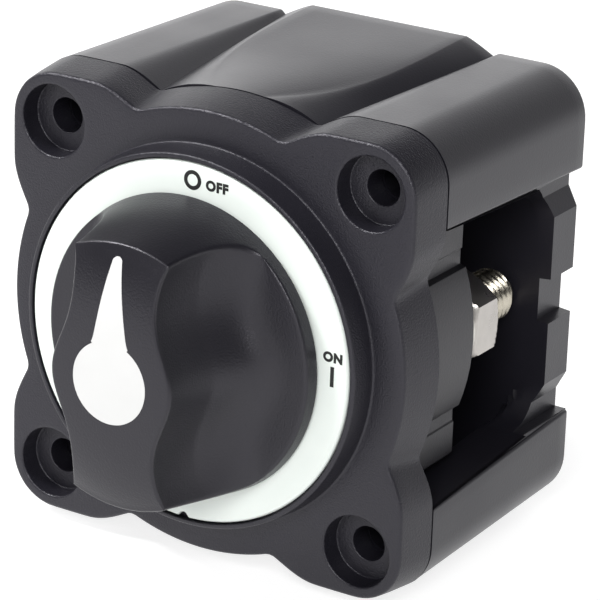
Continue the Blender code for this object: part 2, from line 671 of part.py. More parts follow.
def make_shaft_seal(material, parent, sides=6):
    middle = SHAFT_RADIUS - SEAL_SECTION
    profile = []
    for k in range(sides):
        angle = 2 * math.pi * k / sides
        profile.append((middle + SEAL_SECTION * math.cos(angle), SEAL_DEPTH + SEAL_SECTION * math.sin(angle)))
    return ring("shaft_seal", profile, 20, material, parent)


def make_clip(material, parent):
    """Retaining ring in the shaft's front groove."""
    front = CLIP_SEAT - GAP - CLIP_THICKNESS
    profile = [(4.7, front), (CLIP_RADIUS, front), (CLIP_RADIUS, front + CLIP_THICKNESS), (4.7, front + CLIP_THICKNESS)]
    return ring("shaft_clip", profile, 24, material, parent)


def make_thrust_washer(material, parent):
    front = INNER_FACE + GAP
    back = front + WASHER_THICKNESS
    inner = SHAFT_RADIUS + GAP
    return ring("thrust_washer", [(inner, front), (10.0, front), (10.0, back), (inner, back)], 24, material, parent)


def face_ramp(name, azimuth_from, azimuth_to, foot, height, inner, outer, parent, steps=12):
    """A ring sector whose free face follows height(azimuth), standing on the depth of its foot."""
    rows = []
    for k in range(steps + 1):
        azimuth = azimuth_from + (azimuth_to - azimuth_from) * k / steps
        near, far = at_azimuth(inner, azimuth), at_azimuth(outer, azimuth)
        rows.append([(near[0], foot, near[1]), (far[0], foot, far[1]),
                     (far[0], height(azimuth), far[1]), (near[0], height(azimuth), near[1])])
    return skin(name, rows, None, parent)


def ramp_depth(follower, azimuth):
    """Depth of the rotor's ramp in the off position, under the follower at its own azimuth."""
    return ROTOR_BACK + RAMP_LOW + RAMP_PER_DEGREE * (follower - azimuth)


def make_cam_rotor(material, parent, steps=72):
    """Disc on the shaft's square: two face ramps push the carrier, two notches hold the detent."""
    def edge(i):
        azimuth = 360 * i / steps
        radius = ROTOR_RADIUS
        for notch in (180.0 - TURN, 180.0):
            off = abs(azimuth - notch)
            if off < NOTCH_HALF_ANGLE:
                radius = ROTOR_RADIUS - NOTCH_DEPTH * (1 - off / NOTCH_HALF_ANGLE)
        return at_azimuth(radius, azimuth)
    rim = [edge(i) for i in range(steps)]
    bore = polygon(SHAFT_SQUARE / 2 + GAP, 4, steps)
    rotor = tube("cam_rotor", [(ROTOR_FRONT, bore), (ROTOR_FRONT, rim), (ROTOR_BACK, rim), (ROTOR_BACK, bore)],
                 material, parent)
    for number, follower in enumerate(FOLLOWER_AZIMUTHS, 1):
        add(rotor, face_ramp(f"ramp_{number}", follower - TURN - RAMP_RUN_OUT, follower + RAMP_RUN_OUT,
                             ROTOR_BACK - 0.5, lambda a, f=follower: ramp_depth(f, a),
                             RAMP_INNER, RAMP_OUTER, parent))
    return rotor


# ---------------------------------------------------------------- contacts
def oriented_box(azimuth, inner, outer, half_width):
    """A rectangle that reaches out along an azimuth, as (x, z) points."""
    angle = math.radians(azimuth)
    out, side = (math.sin(angle), math.cos(angle)), (math.cos(angle), -math.sin(angle))
    return [(out[0] * r + side[0] * w, out[1] * r + side[1] * w)
            for r, w in ((inner, -half_width), (outer, -half_width), (outer, half_width), (inner, half_width))]


def spring_places(azimuth):
    angle = math.radians(azimuth)
    out, side = (math.sin(angle), math.cos(angle)), (math.cos(angle), -math.sin(angle))
    return [(out[0] * BRIDGE_OFFSET + side[0] * w, out[1] * BRIDGE_OFFSET + side[1] * w)
            for w in (-CONTACT_SPRING_SPREAD, CONTACT_SPRING_SPREAD)]


BRIDGE_AZIMUTHS = (45.0, 225.0)
SPRING_SEAT = FOLLOWER_TIP + 1.5


def make_contact_carrier(material, parent):
    """Slides on the base's guide pins. Its followers ride the rotor's ramps."""
    profile = [(HUB_BORE, HUB_FRONT), (HUB_RADIUS, HUB_FRONT), (HUB_RADIUS, HUB_BACK), (HUB_BORE, HUB_BACK)]
    carrier = ring("contact_carrier", profile, 48, material, parent)
    for number, azimuth in enumerate(BRIDGE_AZIMUTHS, 1):
        add(carrier, prism(f"arm_{number}", oriented_box(azimuth, ARM_INNER, ARM_OUTER, ARM_HALF_WIDTH),
                           FOLLOWER_TIP, HUB_BACK - 0.01, None, parent))
        for k, place in enumerate(spring_places(azimuth), 1):
            cut(carrier, turned(f"spring_pocket_{number}_{k}",
                                [(CONTACT_SPRING_RADIUS + 0.8, SPRING_SEAT), (CONTACT_SPRING_RADIUS + 0.8, HUB_BACK + 1)],
                                12, None, parent, place))
    for number, azimuth in enumerate(FOLLOWER_AZIMUTHS, 1):
        place = at_azimuth(GUIDE_CIRCLE, azimuth)
        add(carrier, prism(f"ear_web_{number}", oriented_box(azimuth, HUB_RADIUS - 1.5, GUIDE_CIRCLE, EAR_RADIUS - 0.2),
                           HUB_FRONT + 0.02, HUB_BACK - 0.02, None, parent),
            turned(f"ear_{number}", [(EAR_RADIUS, HUB_FRONT + 0.05), (EAR_RADIUS, HUB_BACK - 0.05)], 16,
                   None, parent, place),
            face_ramp(f"follower_{number}", azimuth - FOLLOWER_HALF_ANGLE, azimuth + FOLLOWER_HALF_ANGLE,
                      HUB_FRONT + 0.5, lambda a, f=azimuth: ramp_depth(f, a) + GAP,
                      RAMP_INNER + 0.2, RAMP_OUTER - 0.2, parent, 4))
        cut(carrier, turned(f"ear_bore_{number}", [(GUIDE_RADIUS + GAP, HUB_FRONT - 1), (GUIDE_RADIUS + GAP, HUB_BACK + 1)],
                            12, None, parent, place))
    return carrier


def make_contact_bridge(name, azimuth, material, parent, end_steps=8):
    """Copper bar between two studs, with a raised contact button at each end."""
    angle = math.radians(azimuth)
    out, side = (math.sin(angle), math.cos(angle)), (math.cos(angle), -math.sin(angle))

    def place(w, r):
        return out[0] * r + side[0] * w, out[1] * r + side[1] * w
    outline = []
    for sign in (1, -1):
        for k in range(end_steps + 1):
            turn = math.pi * k / end_steps
            outline.append(place(sign * (BUTTON_ALONG + BRIDGE_HALF_WIDTH * math.sin(turn)),
                                 BRIDGE_OFFSET + sign * BRIDGE_HALF_WIDTH * math.cos(turn)))
    bridge = prism(name, outline, BRIDGE_FRONT, BRIDGE_BACK, material, parent)
    for k, sign in enumerate((1, -1), 1):
        add(bridge, turned(f"{name}_button_{k}", [(BUTTON_RADIUS, BRIDGE_BACK - 0.5), (BUTTON_RADIUS, BUTTON_FACE)],
                           16, None, parent, place(sign * BUTTON_ALONG, BRIDGE_OFFSET)))
    return bridge


def make_return_spring(material, parent):
    return coil("return_spring", RETURN_SPRING_RADIUS, 0.45, 4, HUB_BACK + GAP, BASE_INNER_FACE - GAP,
                material, parent, (0.0, 0.0), 4, 12)


def make_detent_spring(material, parent, thickness=0.5):
    """Bent strip of spring steel. Its middle fold drops into the rotor's notches."""
    floor = ROTOR_RADIUS
    bends = [(-11.4, floor + 3.5), (-5.0, floor + 1.2), (-1.7, floor + 0.6), (0.0, floor - 1.0),
             (1.7, floor + 0.6), (5.0, floor + 1.2), (11.4, floor + 3.5)]
    outline = [(x, -z) for x, z in bends] + [(x, -z - thickness) for x, z in reversed(bends)]
    return prism("detent_spring", outline, ROTOR_FRONT + 0.3, ROTOR_BACK - 0.3, material, parent)


# ---------------------------------------------------------------- terminals and fasteners
def stud_head(azimuth, grow=0.0, steps=20):
    """Round head with a flat on its outer side, in its place on the stud circle."""
    points = []
    for x, out in circle(STUD_HEAD_RADIUS + grow, steps):
        radius = math.hypot(x, STUD_CIRCLE + min(out, STUD_HEAD_FLAT + grow))
        turn = math.atan2(x, STUD_CIRCLE + min(out, STUD_HEAD_FLAT + grow)) + math.radians(azimuth)
        points.append((radius * math.sin(turn), radius * math.cos(turn)))
    return points


def make_terminal(number, materials, parent, steps=20):
    """Stud with its seal inside the base, and its lock washer and nut behind it."""
    azimuth = 90 * (number - 1)
    place = at_azimuth(STUD_CIRCLE, azimuth)
    head = stud_head(azimuth)
    shank = turned_outline(circle(STUD_RADIUS, steps), azimuth, place)
    end = turned_outline(circle(STUD_RADIUS - 0.9, steps), azimuth, place)
    loft(f"terminal_stud_{number}",
         [(STUD_HEAD_FRONT, head), (STUD_HEAD_BACK, head), (STUD_HEAD_BACK, shank), (STUD_END - 1.0, shank),
          (STUD_END, end)], materials["tin"], parent)
    seal_front = STUD_HEAD_BACK + GAP
    seal_back = BASE_INNER_FACE - GAP
    around = turned_outline(circle(STUD_RADIUS + GAP, steps), azimuth, place)
    tube(f"stud_seal_{number}", [(seal_front, around), (seal_front, head), (seal_back, head), (seal_back, around)],
         materials["rubber"], parent)
    washer_front = BASE_DEPTH + GAP
    washer_back = washer_front + LOCK_WASHER_THICKNESS
    ring(f"lock_washer_{number}", [(STUD_RADIUS + GAP, washer_front), (LOCK_WASHER_RADIUS, washer_front),
                                   (LOCK_WASHER_RADIUS, washer_back), (STUD_RADIUS + GAP, washer_back)],
         20, materials["steel"], parent, place)
    nut_front = washer_back + GAP
    nut_back = nut_front + NUT_HEIGHT
    hexagon = shifted(polygon(NUT_ACROSS_FLATS / 2, 6, 24), place)
    faced = shifted([(x * 0.93, z * 0.93) for x, z in polygon(NUT_ACROSS_FLATS / 2, 6, 24)], place)
    bore = circle(STUD_RADIUS + GAP, 24, place)
    tube(f"terminal_nut_{number}", [(nut_front, bore), (nut_front, faced), (nut_front + 0.5, hexagon),
                                    (nut_back - 0.5, hexagon), (nut_back, faced), (nut_back, bore)],
         materials["steel"], parent)


def make_housing_screw(number, place, material, parent):
    head = BASE_DEPTH + GAP
    profile = [(SCREW_RADIUS, FLANGE_DEPTH - SCREW_BITE), (SCREW_RADIUS, head), (SCREW_HEAD_RADIUS, head),
               (SCREW_HEAD_RADIUS, head + SCREW_HEAD_HEIGHT * 0.6),
               (SCREW_HEAD_RADIUS * 0.75, head + SCREW_HEAD_HEIGHT)]
    return turned(f"housing_screw_{number}", profile, 10, material, parent, place)


# ---------------------------------------------------------------- the assembly
clear_scene()

flange_face = bpy.data.objects.new("flange_face", None)
flange_face.location = (0.0, -CASE_DEPTH * MM, 0.0)
bpy.context.collection.objects.link(flange_face)

knob_axis = bpy.data.objects.new("knob_axis", None)
knob_axis.parent = flange_face
bpy.context.collection.objects.link(knob_axis)

carrier_slide = bpy.data.objects.new("carrier_slide", None)
carrier_slide.parent = flange_face
bpy.context.collection.objects.link(carrier_slide)

finishes = {
    "case": finish("black_moulding", (0.032, 0.031, 0.036), 0.5),
    "knob": finish("knob_moulding", (0.026, 0.025, 0.03), 0.36),
    "white": finish("white_moulding", (0.82, 0.85, 0.82), 0.4),
    "rubber": finish("black_rubber", (0.02, 0.02, 0.02), 0.8),
    "inner": finish("natural_nylon", (0.6, 0.57, 0.5), 0.5),
    "shaft": finish("brass", (0.7, 0.5, 0.22), 0.3, 1.0),
    "copper": finish("copper", (0.72, 0.33, 0.2), 0.3, 1.0),
    "tin": finish("tin_plated_copper", (0.72, 0.68, 0.6), 0.32, 1.0),
    "steel": finish("stainless_steel", (0.7, 0.68, 0.64), 0.3, 1.0),
    "spring": finish("spring_steel", (0.5, 0.5, 0.5), 0.35, 1.0),
}

make_front_housing(finishes["case"], flange_face)
make_terminal_base(finishes["case"], flange_face)
make_rear_cover(finishes["case"], flange_face)
make_gasket(finishes["rubber"], flange_face)
make_dial_ring(finishes["white"], flange_face)

make_knob(finishes["knob"], knob_axis)
make_pointer(finishes["white"], knob_axis)
make_knob_screw(finishes["steel"], knob_axis)
make_drive_shaft(finishes["shaft"], knob_axis)
make_shaft_seal(finishes["rubber"], knob_axis)
make_clip(finishes["spring"], knob_axis)
make_cam_rotor(finishes["inner"], knob_axis)
make_thrust_washer(finishes["inner"], flange_face)

make_contact_carrier(finishes["inner"], carrier_slide)
for bridge_number, bridge_azimuth in enumerate(BRIDGE_AZIMUTHS, 1):
    make_contact_bridge(f"contact_bridge_{bridge_number}", bridge_azimuth, finishes["copper"], carrier_slide)
    for spring_number, spring_place in enumerate(spring_places(bridge_azimuth), 1):
        coil(f"contact_spring_{bridge_number}_{spring_number}", CONTACT_SPRING_RADIUS, 0.28, 3,
             SPRING_SEAT + GAP, BRIDGE_FRONT - GAP, finishes["spring"], carrier_slide, spring_place, 4, 8)
make_return_spring(finishes["spring"], flange_face)
make_detent_spring(finishes["spring"], flange_face)

for terminal_number in range(1, 5):
    make_terminal(terminal_number, finishes, flange_face)
for screw_number, screw_place in enumerate(corners(SCREW), 1):
    make_housing_screw(screw_number, screw_place, finishes["steel"], flange_face)
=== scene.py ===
"""Looks of a surface mounted battery switch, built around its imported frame.

The file follows the switch as it goes together: case front, base, dial, shaft and rotor, contacts,
terminals, rear cover, knob. Sizes are in millimetres and are turned to metres as a mesh is laid.
"""
import math

import bmesh
import bpy
import numpy as np
from mathutils import Matrix, Vector


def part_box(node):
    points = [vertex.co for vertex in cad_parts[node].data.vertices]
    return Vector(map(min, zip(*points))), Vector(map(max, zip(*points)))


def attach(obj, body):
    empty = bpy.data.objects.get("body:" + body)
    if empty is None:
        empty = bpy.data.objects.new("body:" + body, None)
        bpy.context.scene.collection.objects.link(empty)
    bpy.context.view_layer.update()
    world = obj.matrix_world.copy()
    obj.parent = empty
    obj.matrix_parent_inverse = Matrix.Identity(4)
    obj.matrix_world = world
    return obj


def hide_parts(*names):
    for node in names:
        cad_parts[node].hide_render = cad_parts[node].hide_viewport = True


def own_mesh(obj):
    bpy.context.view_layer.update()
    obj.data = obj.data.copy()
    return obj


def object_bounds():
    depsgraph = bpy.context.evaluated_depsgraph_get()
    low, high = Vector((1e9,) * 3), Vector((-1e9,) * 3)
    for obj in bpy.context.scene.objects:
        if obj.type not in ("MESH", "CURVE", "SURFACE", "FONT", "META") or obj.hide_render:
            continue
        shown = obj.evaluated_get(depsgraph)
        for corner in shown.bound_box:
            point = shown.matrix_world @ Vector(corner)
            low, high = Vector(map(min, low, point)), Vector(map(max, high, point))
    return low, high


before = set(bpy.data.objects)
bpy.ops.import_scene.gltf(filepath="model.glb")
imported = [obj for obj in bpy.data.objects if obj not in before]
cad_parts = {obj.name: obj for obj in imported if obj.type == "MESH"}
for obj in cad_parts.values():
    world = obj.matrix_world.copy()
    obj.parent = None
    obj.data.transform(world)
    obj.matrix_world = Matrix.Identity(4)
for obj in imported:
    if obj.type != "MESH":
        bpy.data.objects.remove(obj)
cad_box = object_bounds()


# ------------------------------------------------------------------ front housing
# The flange and its round boss are one moulding of black glass-filled nylon, with a fine spark
# texture from the mould. Four stepped holes take the screws that hold the switch to its panel.
MM = 0.001
boss_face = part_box("front_housing")[0].y / MM
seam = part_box("front_housing")[1].y / MM
half_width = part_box("front_housing")[1].x / MM
flange_depth = 7.5
flange_face = seam - flange_depth
hole_place = 26.75
counterbore = 5.38
counterbore_depth = 3.48
hole_radius = 2.6
boss_foot = 28.9
lobe_corner = 7.5
swell_points = 18
dip_point = swell_points - 1


def smooth_piece(name, mesh, finish, crease):
    """Stands a mesh up as a piece: smooth all over, but crisp at edges sharper than the crease."""
    mesh.materials.append(finish)
    mesh.shade_smooth()
    mesh.set_sharp_from_angle(angle=math.radians(crease))
    piece = bpy.data.objects.new(name, mesh)
    bpy.context.collection.objects.link(piece)
    return piece


def lay_surface(name, grids, finish, crease=40):
    """One closed mesh from grids of points in mm: each grid is rows x columns x (x, y, z).

    Neighbouring rows and columns become quads, and points that coincide are merged.
    """
    points, faces, start = [], [], 0
    for grid in grids:
        rows, columns, _ = grid.shape
        index = np.arange(rows * columns).reshape(rows, columns) + start
        quads = np.stack([index[:-1, :-1], index[:-1, 1:], index[1:, 1:], index[1:, :-1]], -1)
        faces.append(quads.reshape(-1, 4))
        points.append(grid.reshape(-1, 3))
        start += rows * columns
    mesh = bpy.data.meshes.new(name)
    mesh.from_pydata(np.concatenate(points) * MM, [], np.concatenate(faces).tolist())
    shaper = bmesh.new()
    shaper.from_mesh(mesh)
    bmesh.ops.remove_doubles(shaper, verts=shaper.verts, dist=2e-6)
    bmesh.ops.dissolve_degenerate(shaper, edges=shaper.edges, dist=1e-6)
    bmesh.ops.recalc_face_normals(shaper, faces=shaper.faces)
    shaper.to_mesh(mesh)
    shaper.free()
    return smooth_piece(name, mesh, finish, crease)


def side_of_square(half, swell, dip, lobe_start, corner):
    """One side of the case from its middle to the middle of the next side, as (x, z) points.

    A round swell about the dial axis runs to the dip, a quarter sine lifts from there to the flat
    of the corner lobe, and a round corner follows. The second half is the first one mirrored
    across the diagonal.
    """
    dip_z = math.sqrt(swell ** 2 - dip ** 2)
    x = np.linspace(0, dip, swell_points)
    part = [np.stack([x, np.sqrt(swell ** 2 - x ** 2)], -1)]
    u = np.linspace(0, 1, 14)[1:]
    lift = np.sin(u * np.pi / 2) ** 1.1
    part.append(np.stack([dip + (lobe_start - dip) * u, dip_z + (half - dip_z) * lift], -1))
    centre = half - corner
    x = np.linspace(lobe_start, centre, 4)[1:]
    part.append(np.stack([x, np.full(3, half)], -1))
    turn = np.linspace(0, np.pi / 4, 9)[1:]
    part.append(np.stack([centre + corner * np.sin(turn), centre + corner * np.cos(turn)], -1))
    octant = np.concatenate(part)
    blunt = octant.copy()
    blunt[1:-1] = (octant[:-2] + octant[1:-1] * 1.2 + octant[2:]) / 3.2
    return np.concatenate([blunt, blunt[-2::-1, ::-1]])


def turned_sides(side):
    """A closed outline from one side, turned about the axis to all four."""
    sides = [side]
    for _ in range(3):
        side = np.stack([side[:, 1], -side[:, 0]], -1)
        sides.append(side)
    return np.concatenate([s[:-1] for s in sides] + [sides[0][:1]])


def set_in(outline, distance):
    """A closed outline moved inwards along its own normals by a distance."""
    ahead = np.roll(outline[:-1], -1, 0) - np.roll(outline[:-1], 1, 0)
    normal = np.stack([ahead[:, 1], -ahead[:, 0]], -1)
    normal /= np.linalg.norm(normal, axis=1, keepdims=True)
    inward = np.where((normal * outline[:-1]).sum(1, keepdims=True) > 0, -normal, normal)
    moved = outline[:-1] + inward * distance
    return np.concatenate([moved, moved[:1]])


def at_depth(outline, depth):
    """(x, z) points placed at a depth, as (x, y, z)."""
    return np.stack([outline[:, 0], np.full(len(outline), float(depth)), outline[:, 1]], -1)


def full_turn(steps):
    """Angles once round, in equal steps."""
    return np.linspace(0, 2 * np.pi, steps + 1)


def spun(profile, turn, centre=(0.0, 0.0)):
    """A surface of revolution about a line along Y, from (radius, depth) points."""
    radius, depth = np.array(profile, float).T
    x = centre[0] + radius[:, None] * np.sin(turn)
    z = centre[1] + radius[:, None] * np.cos(turn)
    return np.stack([x, np.broadcast_to(depth[:, None], x.shape), z], -1)


def rounded(start, corner, end, radius, steps=4):
    """Points of a profile round one corner: a quarter-like arc from the way in to the way out."""
    start, corner, end = (np.array(p, float) for p in (start, corner, end))
    way_in = (start - corner) / np.linalg.norm(start - corner)
    way_out = (end - corner) / np.linalg.norm(end - corner)
    t = np.linspace(0, 1, steps + 1)[:, None]
    return [tuple(p) for p in corner + way_in * radius * (1 - t) ** 2 + way_out * radius * t ** 2]


def rounded_profile(points, radii):
    """A profile whose inner corners are each rounded by their own radius, 0 for a crisp one."""
    profile = [points[0]]
    for i in range(1, len(points) - 1):
        if radii[i]:
            profile += rounded(points[i - 1], points[i], points[i + 1], radii[i])
        else:
            profile.append(points[i])
    return profile + [points[-1]]


def moulded_black(name, colour, rough, grain, grain_depth, mottle=0.06, spec=0.5):
    """Black moulding: colour varies faintly in clouds, and a fine spark grain raises bumps."""
    finish = bpy.data.materials.new(name)
    finish.use_nodes = True
    nodes, links = finish.node_tree.nodes, finish.node_tree.links
    skin = nodes["Principled BSDF"]
    skin.inputs["Specular IOR Level"].default_value = spec
    skin.inputs["Specular Tint"].default_value = (0.95, 0.93, 1.0, 1)
    place = nodes.new("ShaderNodeTexCoord")
    clouds = nodes.new("ShaderNodeTexNoise")
    clouds.inputs["Scale"].default_value = 60
    clouds.inputs["Detail"].default_value = 3
    tone = nodes.new("ShaderNodeValToRGB")
    tone.color_ramp.elements[0].position = 0.3
    tone.color_ramp.elements[1].position = 0.75
    tone.color_ramp.elements[0].color = (*[c * (1 - mottle) for c in colour], 1)
    tone.color_ramp.elements[1].color = (*[c * (1 + mottle) for c in colour], 1)
    spark = nodes.new("ShaderNodeTexNoise")
    spark.inputs["Scale"].default_value = grain
    spark.inputs["Detail"].default_value = 2
    bump = nodes.new("ShaderNodeBump")
    bump.inputs["Strength"].default_value = grain_depth
    bump.inputs["Distance"].default_value = 0.00016
    sheen = nodes.new("ShaderNodeMapRange")
    sheen.inputs["To Min"].default_value = rough - 0.05
    sheen.inputs["To Max"].default_value = rough + 0.07
    links.new(place.outputs["Object"], clouds.inputs["Vector"])
    links.new(place.outputs["Object"], spark.inputs["Vector"])
    links.new(clouds.outputs["Fac"], tone.inputs["Fac"])
    links.new(tone.outputs["Color"], skin.inputs["Base Color"])
    links.new(spark.outputs["Fac"], bump.inputs["Height"])
    links.new(bump.outputs["Normal"], skin.inputs["Normal"])
    links.new(clouds.outputs["Fac"], sheen.inputs["Value"])
    links.new(sheen.outputs["Result"], skin.inputs["Roughness"])
    return finish


case_black = moulded_black("case_black", (0.0085, 0.008, 0.012), 0.42, 3800, 0.55)

face_side = side_of_square(34.0, 33.5, 12.2, 20.2, lobe_corner)
seam_side = side_of_square(half_width - 0.06, half_width - 0.06, 13.4, 20.6, lobe_corner)
flange_edge = 0.6
face_outline = turned_sides(face_side)
seam_outline = turned_sides(seam_side)
skirt = []
for turn in np.linspace(0, np.pi / 2, 6):
    inset = flange_edge * (1 - math.sin(turn))
    ring = face_outline + (seam_outline - face_outline) * (inset / flange_depth)
    skirt.append(at_depth(set_in(ring, inset), flange_face + flange_edge * (1 - math.cos(turn))))
for share in (0.35, 0.7, 1.0):
    ring = face_outline + (seam_outline - face_outline) * share
    skirt.append(at_depth(ring, flange_face + flange_depth * share))
skirt = np.stack(skirt)


def quarter_turned(grid, quarter):
    """A grid turned about the dial axis by so many quarter turns."""
    c, s = ((1, 0), (0, 1), (-1, 0), (0, -1))[quarter]
    x, y, z = grid[..., 0], grid[..., 1], grid[..., 2]
    return np.stack([x * c + z * s, y, z * c - x * s], -1)


def between(start, end, shares):
    """Rows of points from one line of points to another: straight, at the given shares of the way."""
    return [start + (end - start) * share for share in shares]


thirds = (0, 1 / 3, 2 / 3, 1)
front_edge = skirt[0][:len(face_side)]
back_edge = skirt[-1][:len(face_side)]
swell_turns = np.arctan2(front_edge[:, 0], front_edge[:, 2])
lobe_turns = np.linspace(swell_turns[dip_point], swell_turns[-1 - dip_point], 41)
foot_turns = np.concatenate([swell_turns[:dip_point], lobe_turns, swell_turns[-dip_point:]])


def foot_line(turns, depth):
    """Points on the foot of the boss at the given turns."""
    return at_depth(boss_foot * np.stack([np.sin(turns), np.cos(turns)], -1), depth)


def swell_face(edge, depth, part):
    """The flat between the boss's foot and a stretch of the swell."""
    return np.stack(between(edge[part], foot_line(swell_turns[part], depth), thirds))


def lobe_loop(edge, depth):
    """The closed edge of a corner's flat: the lobe, in to the boss, back along its foot, and out."""
    lobe = edge[dip_point:len(edge) - dip_point]
    foot = foot_line(lobe_turns, depth)
    inward = np.array(between(lobe[-1], foot[-1], thirds[1:3]))
    outward = np.array(between(foot[0], lobe[0], thirds[1:]))
    return np.concatenate([lobe, inward, foot[::-1], outward])


def stepped_hole():
    """A corner's flats round its screw hole: front face, counterbore with eased edge, hole, back.

    Each point of the front edge is joined to the hole along its own ray from the hole's centre.
    """
    front, back = lobe_loop(front_edge, flange_face), lobe_loop(back_edge, seam)
    angle = np.arctan2(front[:, 2] - hole_place, front[:, 0] - hole_place)

    def hole_ring(radius, depth):
        """A circle about the hole's centre, with a point on each ray."""
        return at_depth(hole_place + radius * np.stack([np.cos(angle), np.sin(angle)], -1), depth)
    floor = flange_face + counterbore_depth
    profile = rounded_profile(
        [(counterbore + 0.8, flange_face), (counterbore, flange_face), (counterbore, floor),
         (hole_radius, floor), (hole_radius, seam)], [0, 0.4, 0.25, 0.2, 0])
    rows = between(front, hole_ring(*profile[0]), (0, 0.35, 0.7)) + [hole_ring(*p) for p in profile]
    return np.stack(rows + between(back, hole_ring(*profile[-1]), (0.6, 0)))


ring_outer, ring_inner = 26.95, 20.8
seat_outer, seat_inner = ring_outer + 0.28, ring_inner - 0.3
seat_floor = boss_face + 1.1
seal_radius, seal_floor = 9.0, boss_face + 1.3
shaft_hole = 5.6
cup_radius, wall_back = 24.0, boss_face + 3.7
boss_profile = rounded_profile(
    [(boss_foot, flange_face), (28.35, flange_face), (27.95, boss_face), (seat_outer, boss_face),
     (seat_outer, seat_floor), (seat_inner, seat_floor), (seat_inner, boss_face), (seal_radius, boss_face),
     (seal_radius, seal_floor), (shaft_hole, seal_floor), (shaft_hole, wall_back), (cup_radius, wall_back),
     (cup_radius, seam), (boss_foot, seam)],
    [0, 0.35, 0.4, 0.12, 0, 0, 0.1, 0.1, 0, 0, 0, 0.5, 0, 0])
corner_grids = [stepped_hole()]
for edge, depth in ((front_edge, flange_face), (back_edge, seam)):
    for part in (slice(0, dip_point + 1), slice(-1 - dip_point, None)):
        corner_grids.append(swell_face(edge, depth, part))
all_turns = np.concatenate([foot_turns[:-1] + k * np.pi / 2 for k in range(4)] + [foot_turns[:1] + 2 * np.pi])
housing = lay_surface("flange_and_boss", [skirt, spun(boss_profile, all_turns)]
                      + [quarter_turned(grid, k) for grid in corner_grids for k in range(4)], case_black)
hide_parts("front_housing")
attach(housing, "case")


# ------------------------------------------------------------------ base, gasket and screws
# The terminal base is a cup of the same nylon, screwed to the housing from behind over a rubber
# gasket. It keeps the frame's shape with its edges eased, and has a smoother skin than the flange.
def dress(node, finish):
    """Gives a frame node its finish."""
    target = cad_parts[node]
    target.data.materials.clear()
    target.data.materials.append(finish)


base_black = moulded_black("base_black", (0.008, 0.0078, 0.0098), 0.4, 3600, 0.25)
rubber_black = moulded_black("rubber_black", (0.012, 0.012, 0.0125), 0.72, 2600, 0.6, 0.15, 0.3)


def eased_copy(node, name, finish, ease, crease):
    """A frame node's shape as one welded mesh: flat faces joined up, and its sharp edges eased.

    An ease of 0 leaves the edges as they are.
    """
    shaper = bmesh.new()
    shaper.from_mesh(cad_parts[node].data)
    bmesh.ops.remove_doubles(shaper, verts=shaper.verts, dist=1e-6)
    bmesh.ops.dissolve_limit(shaper, angle_limit=math.radians(1), verts=shaper.verts, edges=shaper.edges)
    bmesh.ops.recalc_face_normals(shaper, faces=shaper.faces)
    mesh = bpy.data.meshes.new(name)
    shaper.to_mesh(mesh)
    shaper.free()
    piece = smooth_piece(name, mesh, finish, crease)
    if ease == 0:
        return piece
    easing = piece.modifiers.new("eased_edges", "BEVEL")
    easing.width = ease * MM
    easing.segments = 2
    easing.limit_method = "ANGLE"
    easing.angle_limit = math.radians(crease)
    easing.harden_normals = True
    return piece


base = eased_copy("terminal_base", "terminal_base_moulding", base_black, 0.25, 35)
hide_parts("terminal_base")
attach(base, "case")
dress("housing_gasket", rubber_black)
dress("shaft_seal", rubber_black)
for n in range(1, 5):
    dress(f"stud_seal_{n}", rubber_black)


def worn_metal(name, colour, rough, brush=900, streak=(1, 30, 1), dent=0.12):
    """Bare metal: tone and gloss vary in fine streaks, and shallow handling marks bump it."""
    finish = bpy.data.materials.new(name)
    finish.use_nodes = True
    nodes, links = finish.node_tree.nodes, finish.node_tree.links
    skin = nodes["Principled BSDF"]
    skin.inputs["Metallic"].default_value = 1.0
    place = nodes.new("ShaderNodeTexCoord")
    lay = nodes.new("ShaderNodeMapping")
    lay.inputs["Scale"].default_value = streak
    brushing = nodes.new("ShaderNodeTexNoise")
    brushing.inputs["Scale"].default_value = brush
    brushing.inputs["Detail"].default_value = 4
    tone = nodes.new("ShaderNodeValToRGB")
    tone.color_ramp.elements[0].position = 0.25
    tone.color_ramp.elements[1].position = 0.8
    tone.color_ramp.elements[0].color = (*[c * 0.72 for c in colour], 1)
    tone.color_ramp.elements[1].color = (*[min(c * 1.08, 1) for c in colour], 1)
    gloss = nodes.new("ShaderNodeMapRange")
    gloss.inputs["To Min"].default_value = rough - 0.08
    gloss.inputs["To Max"].default_value = rough + 0.12
    bump = nodes.new("ShaderNodeBump")
    bump.inputs["Strength"].default_value = dent
    bump.inputs["Distance"].default_value = 0.00005
    links.new(place.outputs["Object"], lay.inputs["Vector"])
    links.new(lay.outputs["Vector"], brushing.inputs["Vector"])
    links.new(brushing.outputs["Fac"], tone.inputs["Fac"])
    links.new(tone.outputs["Color"], skin.inputs["Base Color"])
    links.new(brushing.outputs["Fac"], gloss.inputs["Value"])
    links.new(gloss.outputs["Result"], skin.inputs["Roughness"])
    links.new(brushing.outputs["Fac"], bump.inputs["Height"])
    links.new(bump.outputs["Normal"], skin.inputs["Normal"])
    return finish


stainless = worn_metal("stainless", (0.62, 0.6, 0.56), 0.3)
for n in range(1, 5):
    dress(f"housing_screw_{n}", stainless)


